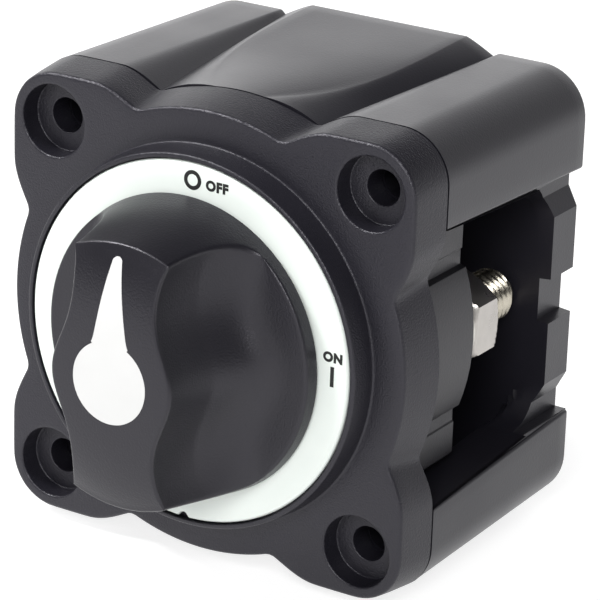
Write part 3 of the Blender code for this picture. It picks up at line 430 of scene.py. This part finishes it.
# ------------------------------------------------------------------ dial ring
# A white ring of ABS sits in a groove of the boss, flush with it. Off and on are pad printed in
# black, and a small notch at six o'clock keys it in its groove.
def moulded_pale(name, colour, rough, speck=0.03):
    """Pale moulding: a very faint cloudiness in its colour, and a soft orange-peel bump."""
    finish = bpy.data.materials.new(name)
    finish.use_nodes = True
    nodes, links = finish.node_tree.nodes, finish.node_tree.links
    skin = nodes["Principled BSDF"]
    place = nodes.new("ShaderNodeTexCoord")
    clouds = nodes.new("ShaderNodeTexNoise")
    clouds.inputs["Scale"].default_value = 220
    clouds.inputs["Detail"].default_value = 3
    tone = nodes.new("ShaderNodeValToRGB")
    tone.color_ramp.elements[0].color = (*[c * (1 - speck) for c in colour], 1)
    tone.color_ramp.elements[1].color = (*[min(c * (1 + speck), 1) for c in colour], 1)
    peel = nodes.new("ShaderNodeBump")
    peel.inputs["Strength"].default_value = 0.08
    peel.inputs["Distance"].default_value = 0.00005
    gloss = nodes.new("ShaderNodeMapRange")
    gloss.inputs["To Min"].default_value = rough - 0.04
    gloss.inputs["To Max"].default_value = rough + 0.05
    links.new(place.outputs["Object"], clouds.inputs["Vector"])
    links.new(clouds.outputs["Fac"], tone.inputs["Fac"])
    links.new(tone.outputs["Color"], skin.inputs["Base Color"])
    links.new(clouds.outputs["Fac"], gloss.inputs["Value"])
    links.new(gloss.outputs["Result"], skin.inputs["Roughness"])
    links.new(clouds.outputs["Fac"], peel.inputs["Height"])
    links.new(peel.outputs["Normal"], skin.inputs["Normal"])
    return finish


ring_white = moulded_pale("ring_white", (0.69, 0.735, 0.7), 0.42)
ring_back = boss_face + 0.8
ring_turn = full_turn(360)
notch_radius = 0.75
notch_from = 24.6
notch = notch_radius * np.sqrt(np.clip(1 - ((ring_turn - np.pi) * ring_outer / notch_radius) ** 2, 0, 1))
rim = [(ring_inner, boss_face), (notch_from, boss_face), (ring_outer - 0.4, boss_face),
       (ring_outer - 0.3, boss_face + 0.03), (ring_outer - 0.03, boss_face + 0.3),
       (ring_outer, boss_face + 0.4), (ring_outer, ring_back), (ring_inner, ring_back),
       (ring_inner, boss_face)]
ring_grid = spun(rim, ring_turn)
reach = np.array([r for r, _ in rim])
cut = np.where((reach >= notch_from)[:, None], (reach[:, None] - notch) / reach[:, None], 1.0)
ring_grid[..., 0] *= cut
ring_grid[..., 2] *= cut
dial = lay_surface("dial_face", [ring_grid], ring_white)
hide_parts("dial_ring")
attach(dial, "case")

print_black = moulded_pale("print_black", (0.005, 0.005, 0.005), 0.6, 0.2)
print_lift = 0.02
print_face = boss_face - print_lift
cap_height = 0.69


def printed_word(name, text, height, centre):
    """A word in the plain built-in face, laid flat on the ring and centred on (x, z)."""
    lettering = bpy.data.curves.new(name, "FONT")
    lettering.body = text
    lettering.size = height * MM / cap_height
    lettering.align_x = "CENTER"
    lettering.align_y = "CENTER"
    lettering.offset = 0.00012
    lettering.space_character = 1.12
    word = bpy.data.objects.new(name, lettering)
    bpy.context.collection.objects.link(word)
    bpy.context.view_layer.update()
    mesh = bpy.data.meshes.new_from_object(word)
    bpy.data.objects.remove(word)
    upright = Matrix(((1, 0, 0, centre[0] * MM), (0, 0, 1, print_face * MM),
                      (0, 1, 0, centre[1] * MM), (0, 0, 0, 1)))
    mesh.transform(upright)
    mesh.materials.clear()
    mesh.materials.append(print_black)
    piece = bpy.data.objects.new(name, mesh)
    bpy.context.collection.objects.link(piece)
    shaper = bmesh.new()
    shaper.from_mesh(mesh)
    bmesh.ops.recalc_face_normals(shaper, faces=shaper.faces)
    if sum(f.normal.y * f.calc_area() for f in shaper.faces) > 0:
        bmesh.ops.reverse_faces(shaper, faces=shaper.faces)
    shaper.to_mesh(mesh)
    shaper.free()
    return piece


off_inner, off_outer, off_centre = 0.86, 1.45, (0.5, 24.55)
print_root = boss_face + 0.1
off_section = [(off_inner, print_face), (off_outer, print_face), (off_outer, print_root),
               (off_inner, print_root), (off_inner, print_face)]
off_ring = lay_surface("print_off_ring", [spun(off_section, full_turn(48), off_centre)], print_black)
bar_half, bar_tall, bar_x, bar_z = 0.31, 1.5, 24.35, 0.75
bar_across = np.linspace(bar_x - bar_half, bar_x + bar_half, 3)
bar_sheet = np.stack([at_depth(np.stack([bar_across, np.full(3, bar_z + z)], -1), print_face)
                      for z in (-bar_tall, 0, bar_tall)])
on_bar = lay_surface("print_on_bar", [bar_sheet], print_black)
for mark in (off_ring, on_bar, printed_word("print_off", "OFF", 1.35, (4.6, 24.2)),
             printed_word("print_on", "ON", 1.3, (24.4, 3.55))):
    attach(mark, "case")


# ------------------------------------------------------------------ shaft, rotor and detent
# Inside, a turned brass shaft carries a nylon rotor on its square. Its two face ramps push the
# contact carrier back, and a bent steel strip clicks into its notches. All keep the frame's shape.
brass = worn_metal("turned_brass", (0.72, 0.52, 0.24), 0.26)
spring_steel = worn_metal("spring_steel", (0.42, 0.42, 0.43), 0.33)
nylon = moulded_pale("natural_nylon", (0.62, 0.59, 0.5), 0.45, 0.06)
dress("drive_shaft", brass)
for node in ("shaft_clip", "detent_spring"):
    dress(node, spring_steel)


def coil_spring(node, body):
    """A coil spring of round wire: the frame node's shape as one welded mesh of its own, attached to the
    body.
    """
    spring = eased_copy(node, f"{node}_wire", spring_steel, 0, 40)
    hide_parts(node)
    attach(spring, body)
    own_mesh(spring)


coil_spring("return_spring", "case")
for node in ("cam_rotor", "thrust_washer", "contact_carrier"):
    dress(node, nylon)


# ------------------------------------------------------------------ contacts
# Two copper bars, tumbled and slightly darkened, close the two circuits. Each floats in the nylon
# carrier on two steel springs, which press it onto its pair of studs.
copper = worn_metal("bridge_copper", (0.7, 0.33, 0.19), 0.3)
for n in (1, 2):
    dress(f"contact_bridge_{n}", copper)
    for m in (1, 2):
        spring = f"contact_spring_{n}_{m}"
        coil_spring(spring, "carrier_group")


# ------------------------------------------------------------------ terminals
# Tin plated copper studs with a rolled thread stand out of the base. Each holds a split spring
# washer and a stainless nut, whose corners are turned off at 30 degrees.
stud_tin = worn_metal("stud_tin", (0.5, 0.465, 0.39), 0.24, 700, (1, 1, 1), 0.03)
nut_steel = worn_metal("nut_steel", (0.5, 0.475, 0.45), 0.27, 160, (1, 1, 1), 0.05)
stud_circle = 24.6
stud_radius = 3.95
stud_head, stud_head_depth = 4.6, 1.9
stud_point = 1.0
thread_pitch = 1.25
thread_depth = 0.62
nut_across, nut_bore = 13.0, 4.0
washer_inner, washer_outer = 4.25, 6.55
base_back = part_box("terminal_base")[1].y / MM


def courses_round(courses, turn, centre):
    """A surface about a line along Y, from courses of one depth and a radius for each turn."""
    radius = np.stack([np.broadcast_to(r, turn.shape) for r, _ in courses])
    depth = np.array([d for _, d in courses], float)[:, None]
    x = centre[0] + radius * np.sin(turn)
    z = centre[1] + radius * np.cos(turn)
    return np.stack([x, np.broadcast_to(depth, x.shape), z], -1)


def threaded_stud(head_front, thread_start, end, centre):
    """A stud: plain head and neck, then a thread whose radius follows a rounded saw along a helix.

    The row's depth and its turn together give the phase, so the ridge climbs as it goes round.
    """
    turn = full_turn(48)
    thread_end = end - stud_point
    rows_of_thread = int((thread_end - thread_start) / thread_pitch * 8) + 1
    depth = np.linspace(thread_start, thread_end, rows_of_thread)
    phase = (depth[:, None] / thread_pitch - turn[None, :] / (2 * np.pi)) % 1.0
    saw = np.abs(phase * 2 - 1)
    ease = np.clip(depth - thread_start, 0, 1)[:, None]
    radius = stud_radius - thread_depth * ease * np.clip(1.15 * (1 - saw) - 0.075, 0, 1)
    head_back = head_front + stud_head_depth
    courses = [(0.0, head_front), (stud_head, head_front), (stud_head, head_back), (stud_radius, head_back)]
    courses += list(zip(radius, depth))
    for shrink, back in ((0.0, 0.0), (0.35, 0.4), (0.95, 1.0)):
        courses.append((np.minimum(radius[-1], stud_radius - shrink), thread_end + back))
    return courses_round(courses + [(0.0, end)], turn, centre)


def hexagon_nut(front, back, centre, outward):
    """A nut: the hexagon's radius, cut by a 30 degree cone at both ends, then the threaded bore."""
    turn = full_turn(144)
    wedge = np.pi / 3
    local = (turn - outward + wedge / 2) % wedge - wedge / 2
    flat = nut_across / 2 / np.cos(local)
    slope = math.tan(math.radians(30))
    washer_face = nut_across / 2 * 0.96
    mouth = nut_bore + 0.5
    courses = [(mouth, front), (washer_face, front)]
    for end, way in ((front, 1), (back, -1)):
        cone = [(np.minimum(flat - 0.04, washer_face + deep / slope), end + way * deep)
                for deep in (0.0, 0.12, 0.25, 0.4, 0.6, 0.85)]
        cone.append((flat, end + way * 1.1))
        courses += cone[::way]
    bore = [(nut_bore, back - 0.5), (nut_bore, front + 0.5)]
    courses += [(washer_face, back), (mouth, back)] + bore + [(mouth, front)]
    return courses_round(courses, turn, centre)


def split_washer(front, back, centre, gap_at):
    """A spring washer: a square section carried round nearly a full turn, with capped ends."""
    half_gap, ease = 0.07, 0.12
    turn = gap_at + np.linspace(half_gap, 2 * np.pi - half_gap, 73)
    section = [(washer_inner, front), (washer_outer - ease, front), (washer_outer, front + ease),
               (washer_outer, back - ease), (washer_outer - ease, back), (washer_inner, back),
               (washer_inner, front)]
    band = spun(section, turn, centre)
    caps = [np.stack([band[[0, 1, 2], end], band[[5, 4, 3], end]]) for end in (0, -1)]
    return [band] + caps


for n in range(1, 5):
    azimuth = math.pi / 2 * (n - 1)
    centre = (stud_circle * math.sin(azimuth), stud_circle * math.cos(azimuth))
    low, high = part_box(f"terminal_stud_{n}")
    stud_grid = threaded_stud(low.y / MM, base_back + 3.2, high.y / MM, centre)
    stud = lay_surface(f"threaded_stud_{n}", [stud_grid], stud_tin, 50)
    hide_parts(f"terminal_stud_{n}")
    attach(stud, "case")
    low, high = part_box(f"terminal_nut_{n}")
    nut_grid = hexagon_nut(low.y / MM, high.y / MM, centre, azimuth)
    nut = lay_surface(f"hexagon_nut_{n}", [nut_grid], nut_steel, 28)
    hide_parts(f"terminal_nut_{n}")
    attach(nut, "case")
    low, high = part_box(f"lock_washer_{n}")
    washer_grids = split_washer(low.y / MM, high.y / MM, centre, azimuth + 2.4)
    washer = lay_surface(f"split_washer_{n}", washer_grids, stainless, 30)
    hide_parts(f"lock_washer_{n}")
    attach(washer, "case")


# ------------------------------------------------------------------ rear cover
# The cover is one more black moulding, smoother than the flange. Two blocks joined by a rear wall
# bridge the terminals and leave both sides open for cables. A flat-topped hump grows out of the
# flange's round swell and widens to the back, and the mounting screws run through the corners.
cover_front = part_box("rear_cover")[0].y / MM + 0.15
cover_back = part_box("rear_cover")[1].y / MM
cover_half = 34.6
cover_draft = 0.5
inner_wall = cover_back - 6.9
cover_bore = 32.9
window_half = 20.9
window_draft = 1.7
window_round = 6.3
cover_edge = 0.55
cover_crease = 25
hump_foot = 34.62
hump_groove = 13.4


def cover_line(share, ease=0.0):
    """The cover's upper outline at a share of its length, from one lower edge over to the other.

    From the middle out: the hump's flat top; a side that falls to the groove, as a parabola in
    front and nearly straight at the back; a quarter sine up to the rail; the rail; the round
    corner; the side down to the cable opening, whose edge is eased.
    """
    half = cover_half - cover_draft * share
    flat = 4.2 + 9.3 * (1 - (1 - share) ** 3.3)
    groove_x = hump_groove + 5.0 * share
    top = hump_foot + 1.12 * share
    swell_groove = math.sqrt(hump_foot ** 2 - hump_groove ** 2)
    groove_z = swell_groove + (33.45 - swell_groove) * share
    power = 2.0 - 0.85 * math.sqrt(share)
    rail = 20.4 - 1.0 * share
    x = np.linspace(0, flat, 8)
    roundness = (hump_foot - np.sqrt(hump_foot ** 2 - x ** 2)) * (1 - share) ** 2
    parts = [np.stack([x, top - roundness], -1)]
    start = parts[0][-1, 1]
    u = np.linspace(0, 1, 36)[1:]
    parts.append(np.stack([flat + (groove_x - flat) * u, start + (groove_z - start) * u ** power], -1))
    u = np.linspace(0, 1, 12)[1:]
    lift = np.sin(u * np.pi / 2)
    parts.append(np.stack([groove_x + (rail - groove_x) * u, groove_z + (half - groove_z) * lift], -1))
    corner = lobe_corner
    centre = half - corner
    x = np.linspace(rail, centre, 4)[1:]
    parts.append(np.stack([x, np.full(3, half)], -1))
    turn = np.linspace(0, np.pi / 2, 15)[1:]
    parts.append(np.stack([centre + corner * np.sin(turn), centre + corner * np.cos(turn)], -1))
    foot = window_half - window_draft * share
    eased_foot = ((0, 2.5), (0, 0.5), (0.04, 0.3), (0.15, 0.13), (0.3, 0.03), (0.5, 0))
    parts.append(np.array([(half - inset, foot + rise) for inset, rise in eased_foot]))
    right = np.concatenate(parts)
    if ease:
        ahead = np.gradient(right, axis=0)
        normal = np.stack([-ahead[:, 1], ahead[:, 0]], -1)
        normal /= np.linalg.norm(normal, axis=1, keepdims=True) + 1e-9
        right = right - normal * ease
        right[0, 0] = 0.0
    left = right[::-1] * np.array([-1, 1])
    return np.concatenate([left[:-1], right])


def side_edge(z):
    """How far out the rear wall reaches at a height: an edge with a slot at each end and a notch."""
    heights = np.array([0, 3.3, 3.5, 13.2, 16.2, 19.2, 20.5])
    reach = np.array([31.5, 31.5, 33.35, 33.35, 31.8, 31.8, 34.1])
    return np.interp(np.abs(z), heights, reach)


def window_wall(x, z):
    """Depth of the rear wall's inner face: flat behind the round bore, rounded in the openings."""
    foot = window_half - window_draft
    into = np.clip(np.abs(z) - (foot - window_round), 0, window_round)
    arc = inner_wall - window_round + np.sqrt(window_round ** 2 - into ** 2)
    return np.where(np.hypot(x, z) < cover_bore, inner_wall, arc)


length = cover_back - cover_edge - cover_front
upper_outer, upper_inner = [], []
for share in np.concatenate([np.linspace(0, 0.3, 12), np.linspace(0.3, 1, 12)[1:]]):
    upper_outer.append(at_depth(cover_line(share), cover_front + length * share))
for turn in np.linspace(0, np.pi / 2, 5)[1:]:
    line = cover_line(1.0, cover_edge * (1 - math.cos(turn)))
    upper_outer.append(at_depth(line, cover_back - cover_edge * (1 - math.sin(turn))))
for share in np.linspace(0, 1, len(upper_outer)):
    line = cover_line(share)
    x = line[:, 0]
    bore_z = np.sqrt(np.clip(cover_bore ** 2 - x ** 2, 0, None))
    foot = window_half - window_draft * share
    z = np.minimum(np.maximum(bore_z, foot), line[:, 1])
    end = np.where(bore_z > foot, inner_wall, inner_wall - window_round)
    upper_inner.append(np.stack([x, cover_front + (end - cover_front) * share, z], -1))
# The rear wall's rows stand at these heights, closer together where its side edge steps.
heights = np.array([19.2, 18.6, 17.9, 17.1, 16.3, 16.2, 15.2, 14.2, 13.2, 12.0, 10.0, 7.0, 3.5, 3.3, 1.5, 0])
heights = np.concatenate([heights, -heights[-2::-1]])
wall_x = upper_outer[-1][:, 0]
outer_rows, inner_rows = list(upper_outer), list(upper_inner)
for rows, last in ((outer_rows, upper_outer[-1]), (inner_rows, upper_inner[-1])):
    for share in (0.5, 1.0):
        step = last.copy()
        step[:, 2] += (heights[0] - last[:, 2]) * share
        rows.append(step)
for height in heights:
    x = np.clip(wall_x, -side_edge(height), side_edge(height))
    z = np.full(len(x), height)
    outer_rows.append(at_depth(np.stack([x, z], -1), cover_back))
    inner_rows.append(np.stack([x, window_wall(x, height), z], -1))
upside_down = np.array([1, 1, -1])
outer = np.stack(outer_rows + [row * upside_down for row in outer_rows[len(upper_outer) + 1::-1]])
inner = np.stack(inner_rows + [row * upside_down for row in inner_rows[len(upper_inner) + 1::-1]])
ends = [np.stack([outer[0], inner[0]]), np.stack([outer[-1], inner[-1]])]
cheeks = [np.stack([outer[:, k], inner[:, k]]) for k in (0, -1)]
cover_black = moulded_black("cover_black", (0.0085, 0.008, 0.0115), 0.35, 3200, 0.14)
cover = lay_surface("terminal_cover", [outer, inner] + ends + cheeks, cover_black, cover_crease)
bit_radius = hole_radius + 0.4
bit_profile = [(0, cover_front - 1), (hole_radius, cover_front - 1), (hole_radius, cover_back - 0.3),
               (bit_radius, cover_back + 0.1), (bit_radius, cover_back + 1), (0, cover_back + 1)]
bits = []
for k, (side_x, side_z) in enumerate(((1, 1), (1, -1), (-1, -1), (-1, 1))):
    bit_grid = spun(bit_profile, full_turn(48), (side_x * hole_place, side_z * hole_place))
    bit = lay_surface(f"screw_way_{k}", [bit_grid], cover_black)
    drill = cover.modifiers.new(f"screw_way_{k}", "BOOLEAN")
    drill.solver = "EXACT"
    drill.object = bit
    bits.append(bit)
bpy.context.view_layer.update()
drilled = bpy.data.meshes.new_from_object(cover.evaluated_get(bpy.context.evaluated_depsgraph_get()))
cover.modifiers.clear()
cover.data = drilled
for bit in bits:
    bpy.data.objects.remove(bit)
drilled.shade_smooth()
drilled.set_sharp_from_angle(angle=math.radians(cover_crease))
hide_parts("rear_cover")
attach(cover, "case")


# ------------------------------------------------------------------ knob
# The knob is moulded in a slightly glossier black, and one screw under the pointer holds it to the
# shaft. Two scoops leave a grip bar that bulges round the screw, and their walls fall as a quarter
# of an ellipse to a floor just above the rim.
knob_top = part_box("knob")[0].y / MM
knob_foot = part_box("knob")[1].y / MM
knob_radius = 22.3
knob_taper = 0.17
scoop_floor = knob_foot - 2.1
scoop_width = 7.0
scoop_start = 1.3
grip_edge = 0.45
rim_round = 0.3
wall_rows = 44
side_columns, end_columns = 131, 63


def crown(radius):
    """Depth of the domed top: it falls with the 3.5th power of the radius."""
    return knob_top + 2.2 * (radius / 18.5) ** 3.5


def grip_half(z):
    """Half width of the grip: a neck, a bell-shaped bulge in the middle, and ends that flare."""
    z = np.minimum(np.abs(z), 20.0)
    return 6.5 + 3.55 * np.exp(-(z / 7.2) ** 2) + 1.3 * (z / 18) ** 4


def cone_radius(depth):
    """Radius of the knob's outer wall at a depth."""
    return knob_radius - knob_taper * (knob_foot - depth)


def scoop_reach(depth):
    """How far a scoop's wall has moved out from the grip at a depth, along a quarter ellipse."""
    fall = np.clip((depth - knob_top - scoop_start) / (scoop_floor - knob_top - scoop_start), 0, 1)
    return scoop_width * (1 - np.sqrt(1 - fall ** 2))


def corner_height(depth, reach):
    """The height at which a scoop's wall meets the outer wall, by halving the interval."""
    low, high = np.full(np.shape(depth), 8.0), np.full(np.shape(depth), 21.9)
    for _ in range(40):
        middle = (low + high) / 2
        inside = np.hypot(grip_half(middle) + reach, middle) < cone_radius(depth)
        low, high = np.where(inside, middle, low), np.where(inside, high, middle)
    return low


rim_radius = 19.6
for _ in range(30):
    rim_radius = cone_radius(crown(rim_radius) + grip_edge)
rim_depth = crown(rim_radius) + grip_edge
share = (1 - np.cos(np.pi * np.linspace(0, 1, wall_rows)))[:, None] / 2
meet_depth = rim_depth + (scoop_floor - rim_depth) * share
meet_z = corner_height(meet_depth, scoop_reach(meet_depth))
across = np.linspace(1, -1, side_columns)[None, :]
z = meet_z * across
top = crown(np.hypot(grip_half(z[:1]), z[:1])) + grip_edge
depth = top + (scoop_floor - top) * share
x = grip_half(z) + scoop_reach(depth)
scoop_wall = np.stack([x, depth, z], -1)
meet_turn = np.arctan2(x[:, :1], z[:, :1])
swing = meet_turn * np.linspace(-1, 1, end_columns)[None, :]
end_radius = cone_radius(meet_depth)
end_wall = np.stack([end_radius * np.sin(swing), meet_depth + 0 * swing, end_radius * np.cos(swing)], -1)
half_way_round = np.array([-1, 1, -1])
walls = [scoop_wall, end_wall * half_way_round, scoop_wall * half_way_round, end_wall]
walls = np.concatenate([wall[:, :-1] for wall in walls], 1)
floor_turn = meet_turn[-1] + (np.pi - 2 * meet_turn[-1]) * np.linspace(0, 1, side_columns)
end_turn = np.pi + meet_turn[-1] * np.linspace(-1, 1, end_columns)
rim_turn = np.concatenate([floor_turn[:-1], end_turn[:-1], floor_turn[:-1] + np.pi, end_turn[:-1] + np.pi])
for _ in range(3):
    walls = (np.roll(walls, 1, 1) + 2 * walls + np.roll(walls, -1, 1)) / 4
walls = np.concatenate([walls, walls[:, :1]], 1)
rim_turn = np.append(rim_turn, rim_turn[0])
edge_line = walls[0][:, [0, 2]]
step = np.linalg.norm(np.diff(edge_line, axis=0), axis=1)
walked = np.concatenate([[0], np.cumsum(step)])
crease_columns = np.cumsum([0] + [side_columns - 1, end_columns - 1] * 2)
from_crease = np.abs(walked[:, None] - walked[crease_columns]).min(1)
ease = grip_edge * (1 - np.exp(-from_crease / grip_edge))
inner_line = edge_line + (set_in(edge_line, 1.0) - edge_line) * ease[:, None]
crown_depth = crown(np.hypot(*inner_line.T))
rounds = []
for turn in np.linspace(0, np.pi / 2, 6)[:-1]:
    line = inner_line + (edge_line - inner_line) * math.sin(turn)
    row_depth = crown_depth + (walls[0][:, 1] - crown_depth) * (1 - math.cos(turn))
    rounds.append(np.stack([line[:, 0], row_depth, line[:, 1]], -1))
face = []
for share in np.linspace(0, 1, 26)[:-1]:
    line = inner_line * share
    face.append(np.stack([line[:, 0], crown(np.hypot(*line.T)), line[:, 1]], -1))
beside_grip = np.abs(np.sin(rim_turn)) > math.sin(float(meet_turn[-1, 0])) - 1e-9
rim_ease = rim_round * (1 - np.exp(-from_crease / 1.5)) * beside_grip


def rim_circle(radius, depth):
    """A circle of the outer wall, with the columns of the walls above it."""
    return np.stack([radius * np.sin(rim_turn), depth + 0 * rim_turn, radius * np.cos(rim_turn)], -1)


floor_edge = rim_circle(cone_radius(scoop_floor) - rim_ease, scoop_floor)
skirt_rows = []
for turn in (0.5, 1.05):
    radius = cone_radius(scoop_floor) - rim_ease * (1 - math.sin(turn))
    skirt_rows.append(rim_circle(radius, scoop_floor + rim_ease * (1 - math.cos(turn))))
skirt_rows.append(rim_circle(cone_radius(scoop_floor + rim_ease), scoop_floor + rim_ease))
skirt_rows += [rim_circle(cone_radius(d), d) for d in np.linspace(scoop_floor + 0.5, knob_foot, 6)]
underside = [rim_circle(knob_radius * share, knob_foot) for share in (0.6, 0.0)]
crisp_bowl = np.stack(list(walls) + between(walls[-1], floor_edge, np.linspace(0, 1, 15)[1:]))
# The foot of each scoop's wall flows into the floor: its rows are averaged from the soft row down.
soft_row = 24
bowl = crisp_bowl.copy()
for _ in range(60):
    bowl[soft_row:-1] = (bowl[soft_row - 1:-2] + 2 * bowl[soft_row:-1] + bowl[soft_row + 1:]) / 4
bowl = crisp_bowl + (bowl - crisp_bowl) * (rim_ease / rim_round)[None, :, None]
knob_grid = np.stack(face + rounds + list(bowl) + skirt_rows + underside)
knob_black = moulded_black("knob_black", (0.0065, 0.006, 0.009), 0.37, 3400, 0.3)
knob = lay_surface("scooped_knob", [knob_grid], knob_black, 50)
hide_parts("knob")
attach(knob, "knob_group")
dress("knob_screw", stainless)


# ------------------------------------------------------------------ pointer
# A pointer moulded in white is pressed into the grip's face over the screw: a disc with a long
# finger that tapers to a round tip. Its face lies a hair proud and follows the knob's crown.
disc_radius = 6.05
neck_half = 2.9
tip_half = 0.8
pointer_end = 18.0
proud, inlay_depth = 0.035, 0.9
neck_z = math.sqrt(disc_radius ** 2 - neck_half ** 2)
around = np.linspace(0.02, math.pi - math.asin(neck_half / disc_radius), 60)
disc = np.stack([-disc_radius * np.cos(around), disc_radius * np.sin(around)], -1)
finger_z = np.linspace(neck_z, pointer_end - tip_half, 50)[1:]
share = (finger_z - neck_z) / (finger_z[-1] - neck_z)
fillet = 0.35 * np.exp(-(finger_z - neck_z) / 0.5)
finger = np.stack([finger_z, neck_half + (tip_half - neck_half) * share + fillet], -1)
tip_turn = np.linspace(0, np.pi / 2 - 0.03, 10)[1:]
tip = np.stack([pointer_end - tip_half + tip_half * np.sin(tip_turn), tip_half * np.cos(tip_turn)], -1)
spine = np.concatenate([disc, finger, tip])
across = np.linspace(-1, 1, 17)
px = spine[:, 1:] * across
pz = spine[:, :1] + 0 * px
front_sheet, back_sheet = (np.stack([px, crown(np.hypot(px, pz)) + sunk, pz], -1)
                           for sunk in (-proud, inlay_depth))
sides = [np.stack([front_sheet[:, k], back_sheet[:, k]]) for k in (0, -1)]
sides += [np.stack([front_sheet[k], back_sheet[k]]) for k in (0, -1)]
pointer_white = moulded_pale("pointer_white", (0.56, 0.56, 0.555), 0.38)
pointer = lay_surface("pointer_piece", [front_sheet, back_sheet] + sides, pointer_white, 40)
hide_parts("pointer_inlay")
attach(pointer, "knob_group")


# ------------------------------------------------------------------ studio
# A pale, slightly self-lit floor, a small soft key above and to the left, and a fill in front and
# to the right. The surround is bright behind, fades upwards, to the front and to the right, and is
# plain white to the camera.
floor_z = cad_box[0][2] - 0.0002
floor_reach = 3
floor_corners = [(x * floor_reach, y * floor_reach, floor_z) for x, y in ((-1, -1), (1, -1), (1, 1), (-1, 1))]
floor_mesh = bpy.data.meshes.new("studio_floor")
floor_mesh.from_pydata(floor_corners, [], [(0, 1, 2, 3)])
studio_floor = bpy.data.objects.new("studio_floor", floor_mesh)
bpy.context.collection.objects.link(studio_floor)
floor_white = bpy.data.materials.new("floor_white")
floor_white.use_nodes = True
floor_skin = floor_white.node_tree.nodes["Principled BSDF"]
floor_skin.inputs["Base Color"].default_value = (0.4, 0.4, 0.4, 1)
floor_skin.inputs["Roughness"].default_value = 0.9
floor_skin.inputs["Emission Color"].default_value = (1, 1, 1, 1)
floor_skin.inputs["Emission Strength"].default_value = 0.8
floor_mesh.materials.append(floor_white)

surround = bpy.data.worlds.new("white_surround")
surround.use_nodes = True
nodes, links = surround.node_tree.nodes, surround.node_tree.links
backdrop = nodes["Background"]
look = nodes.new("ShaderNodeTexCoord")
direction = nodes.new("ShaderNodeSeparateXYZ")
links.new(look.outputs["Generated"], direction.inputs["Vector"])


def faded(along, start, end, at_start, at_end, interpolation="LINEAR"):
    """A strength that goes from one value to another as the direction along X, Y or Z does."""
    ramp = nodes.new("ShaderNodeMapRange")
    ramp.interpolation_type = interpolation
    limits = {"From Min": start, "From Max": end, "To Min": at_start, "To Max": at_end}
    for socket, value in limits.items():
        ramp.inputs[socket].default_value = value
    links.new(direction.outputs[along], ramp.inputs["Value"])
    return ramp.outputs["Result"]


def combined(operation, first, second):
    """The product of two strengths, or the larger of them."""
    node = nodes.new("ShaderNodeMath")
    node.operation = operation
    links.new(first, node.inputs[0])
    links.new(second, node.inputs[1])
    return node.outputs["Value"]


to_front = faded("Y", -0.35, 0.45, 0.06, 1.0, "SMOOTHSTEP")
upwards = faded("Z", 0.28, 0.62, 2.05, 0.12)
to_right = faded("X", -0.1, 0.35, 1.0, 0.25)
glow = combined("MULTIPLY", combined("MULTIPLY", to_front, upwards), to_right)
seen = nodes.new("ShaderNodeLightPath").outputs["Is Camera Ray"]
links.new(combined("MAXIMUM", glow, seen), backdrop.inputs["Strength"])
backdrop.inputs["Color"].default_value = (1, 1, 1, 1)
bpy.context.scene.world = surround


def softbox(name, place, aim, size, power):
    """A square area light at a place, turned to face the aim."""
    lamp = bpy.data.lights.new(name, "AREA")
    lamp.shape = "RECTANGLE"
    lamp.size = lamp.size_y = size
    lamp.energy = power
    holder = bpy.data.objects.new(name, lamp)
    facing = (Vector(aim) - Vector(place)).to_track_quat("-Z", "Y")
    holder.matrix_world = Matrix.Translation(place) @ facing.to_matrix().to_4x4()
    bpy.context.collection.objects.link(holder)


middle = (0.0, -0.035, 0.0)
softbox("key", (-0.3, -0.23, 0.46), middle, 0.16, 4.0)
softbox("front_fill", (0.3, -0.62, 0.42), middle, 0.35, 5.0)

camera_data = bpy.data.cameras.new("camera")
camera_data.sensor_width = 36.0
camera_data.lens = 203.36
camera = bpy.data.objects.new("camera", camera_data)
azimuth, elevation, roll = (math.radians(a) for a in (31.8505, 20.5612, 1.9025))
forward = Vector((-math.sin(azimuth) * math.cos(elevation), math.cos(azimuth) * math.cos(elevation),
                  -math.sin(elevation)))
level = Vector((math.cos(azimuth), math.sin(azimuth), 0.0))
upward = level.cross(forward)
right = level * math.cos(roll) + upward * math.sin(roll)
above = upward * math.cos(roll) - level * math.sin(roll)
camera.matrix_world = Matrix.Translation((0.24975, -0.42506, 0.17507)) @ Matrix(
    (right, above, -forward)).transposed().to_4x4()
bpy.context.collection.objects.link(camera)
bpy.context.scene.camera = camera
bpy.context.scene.view_settings.view_transform = "Standard"
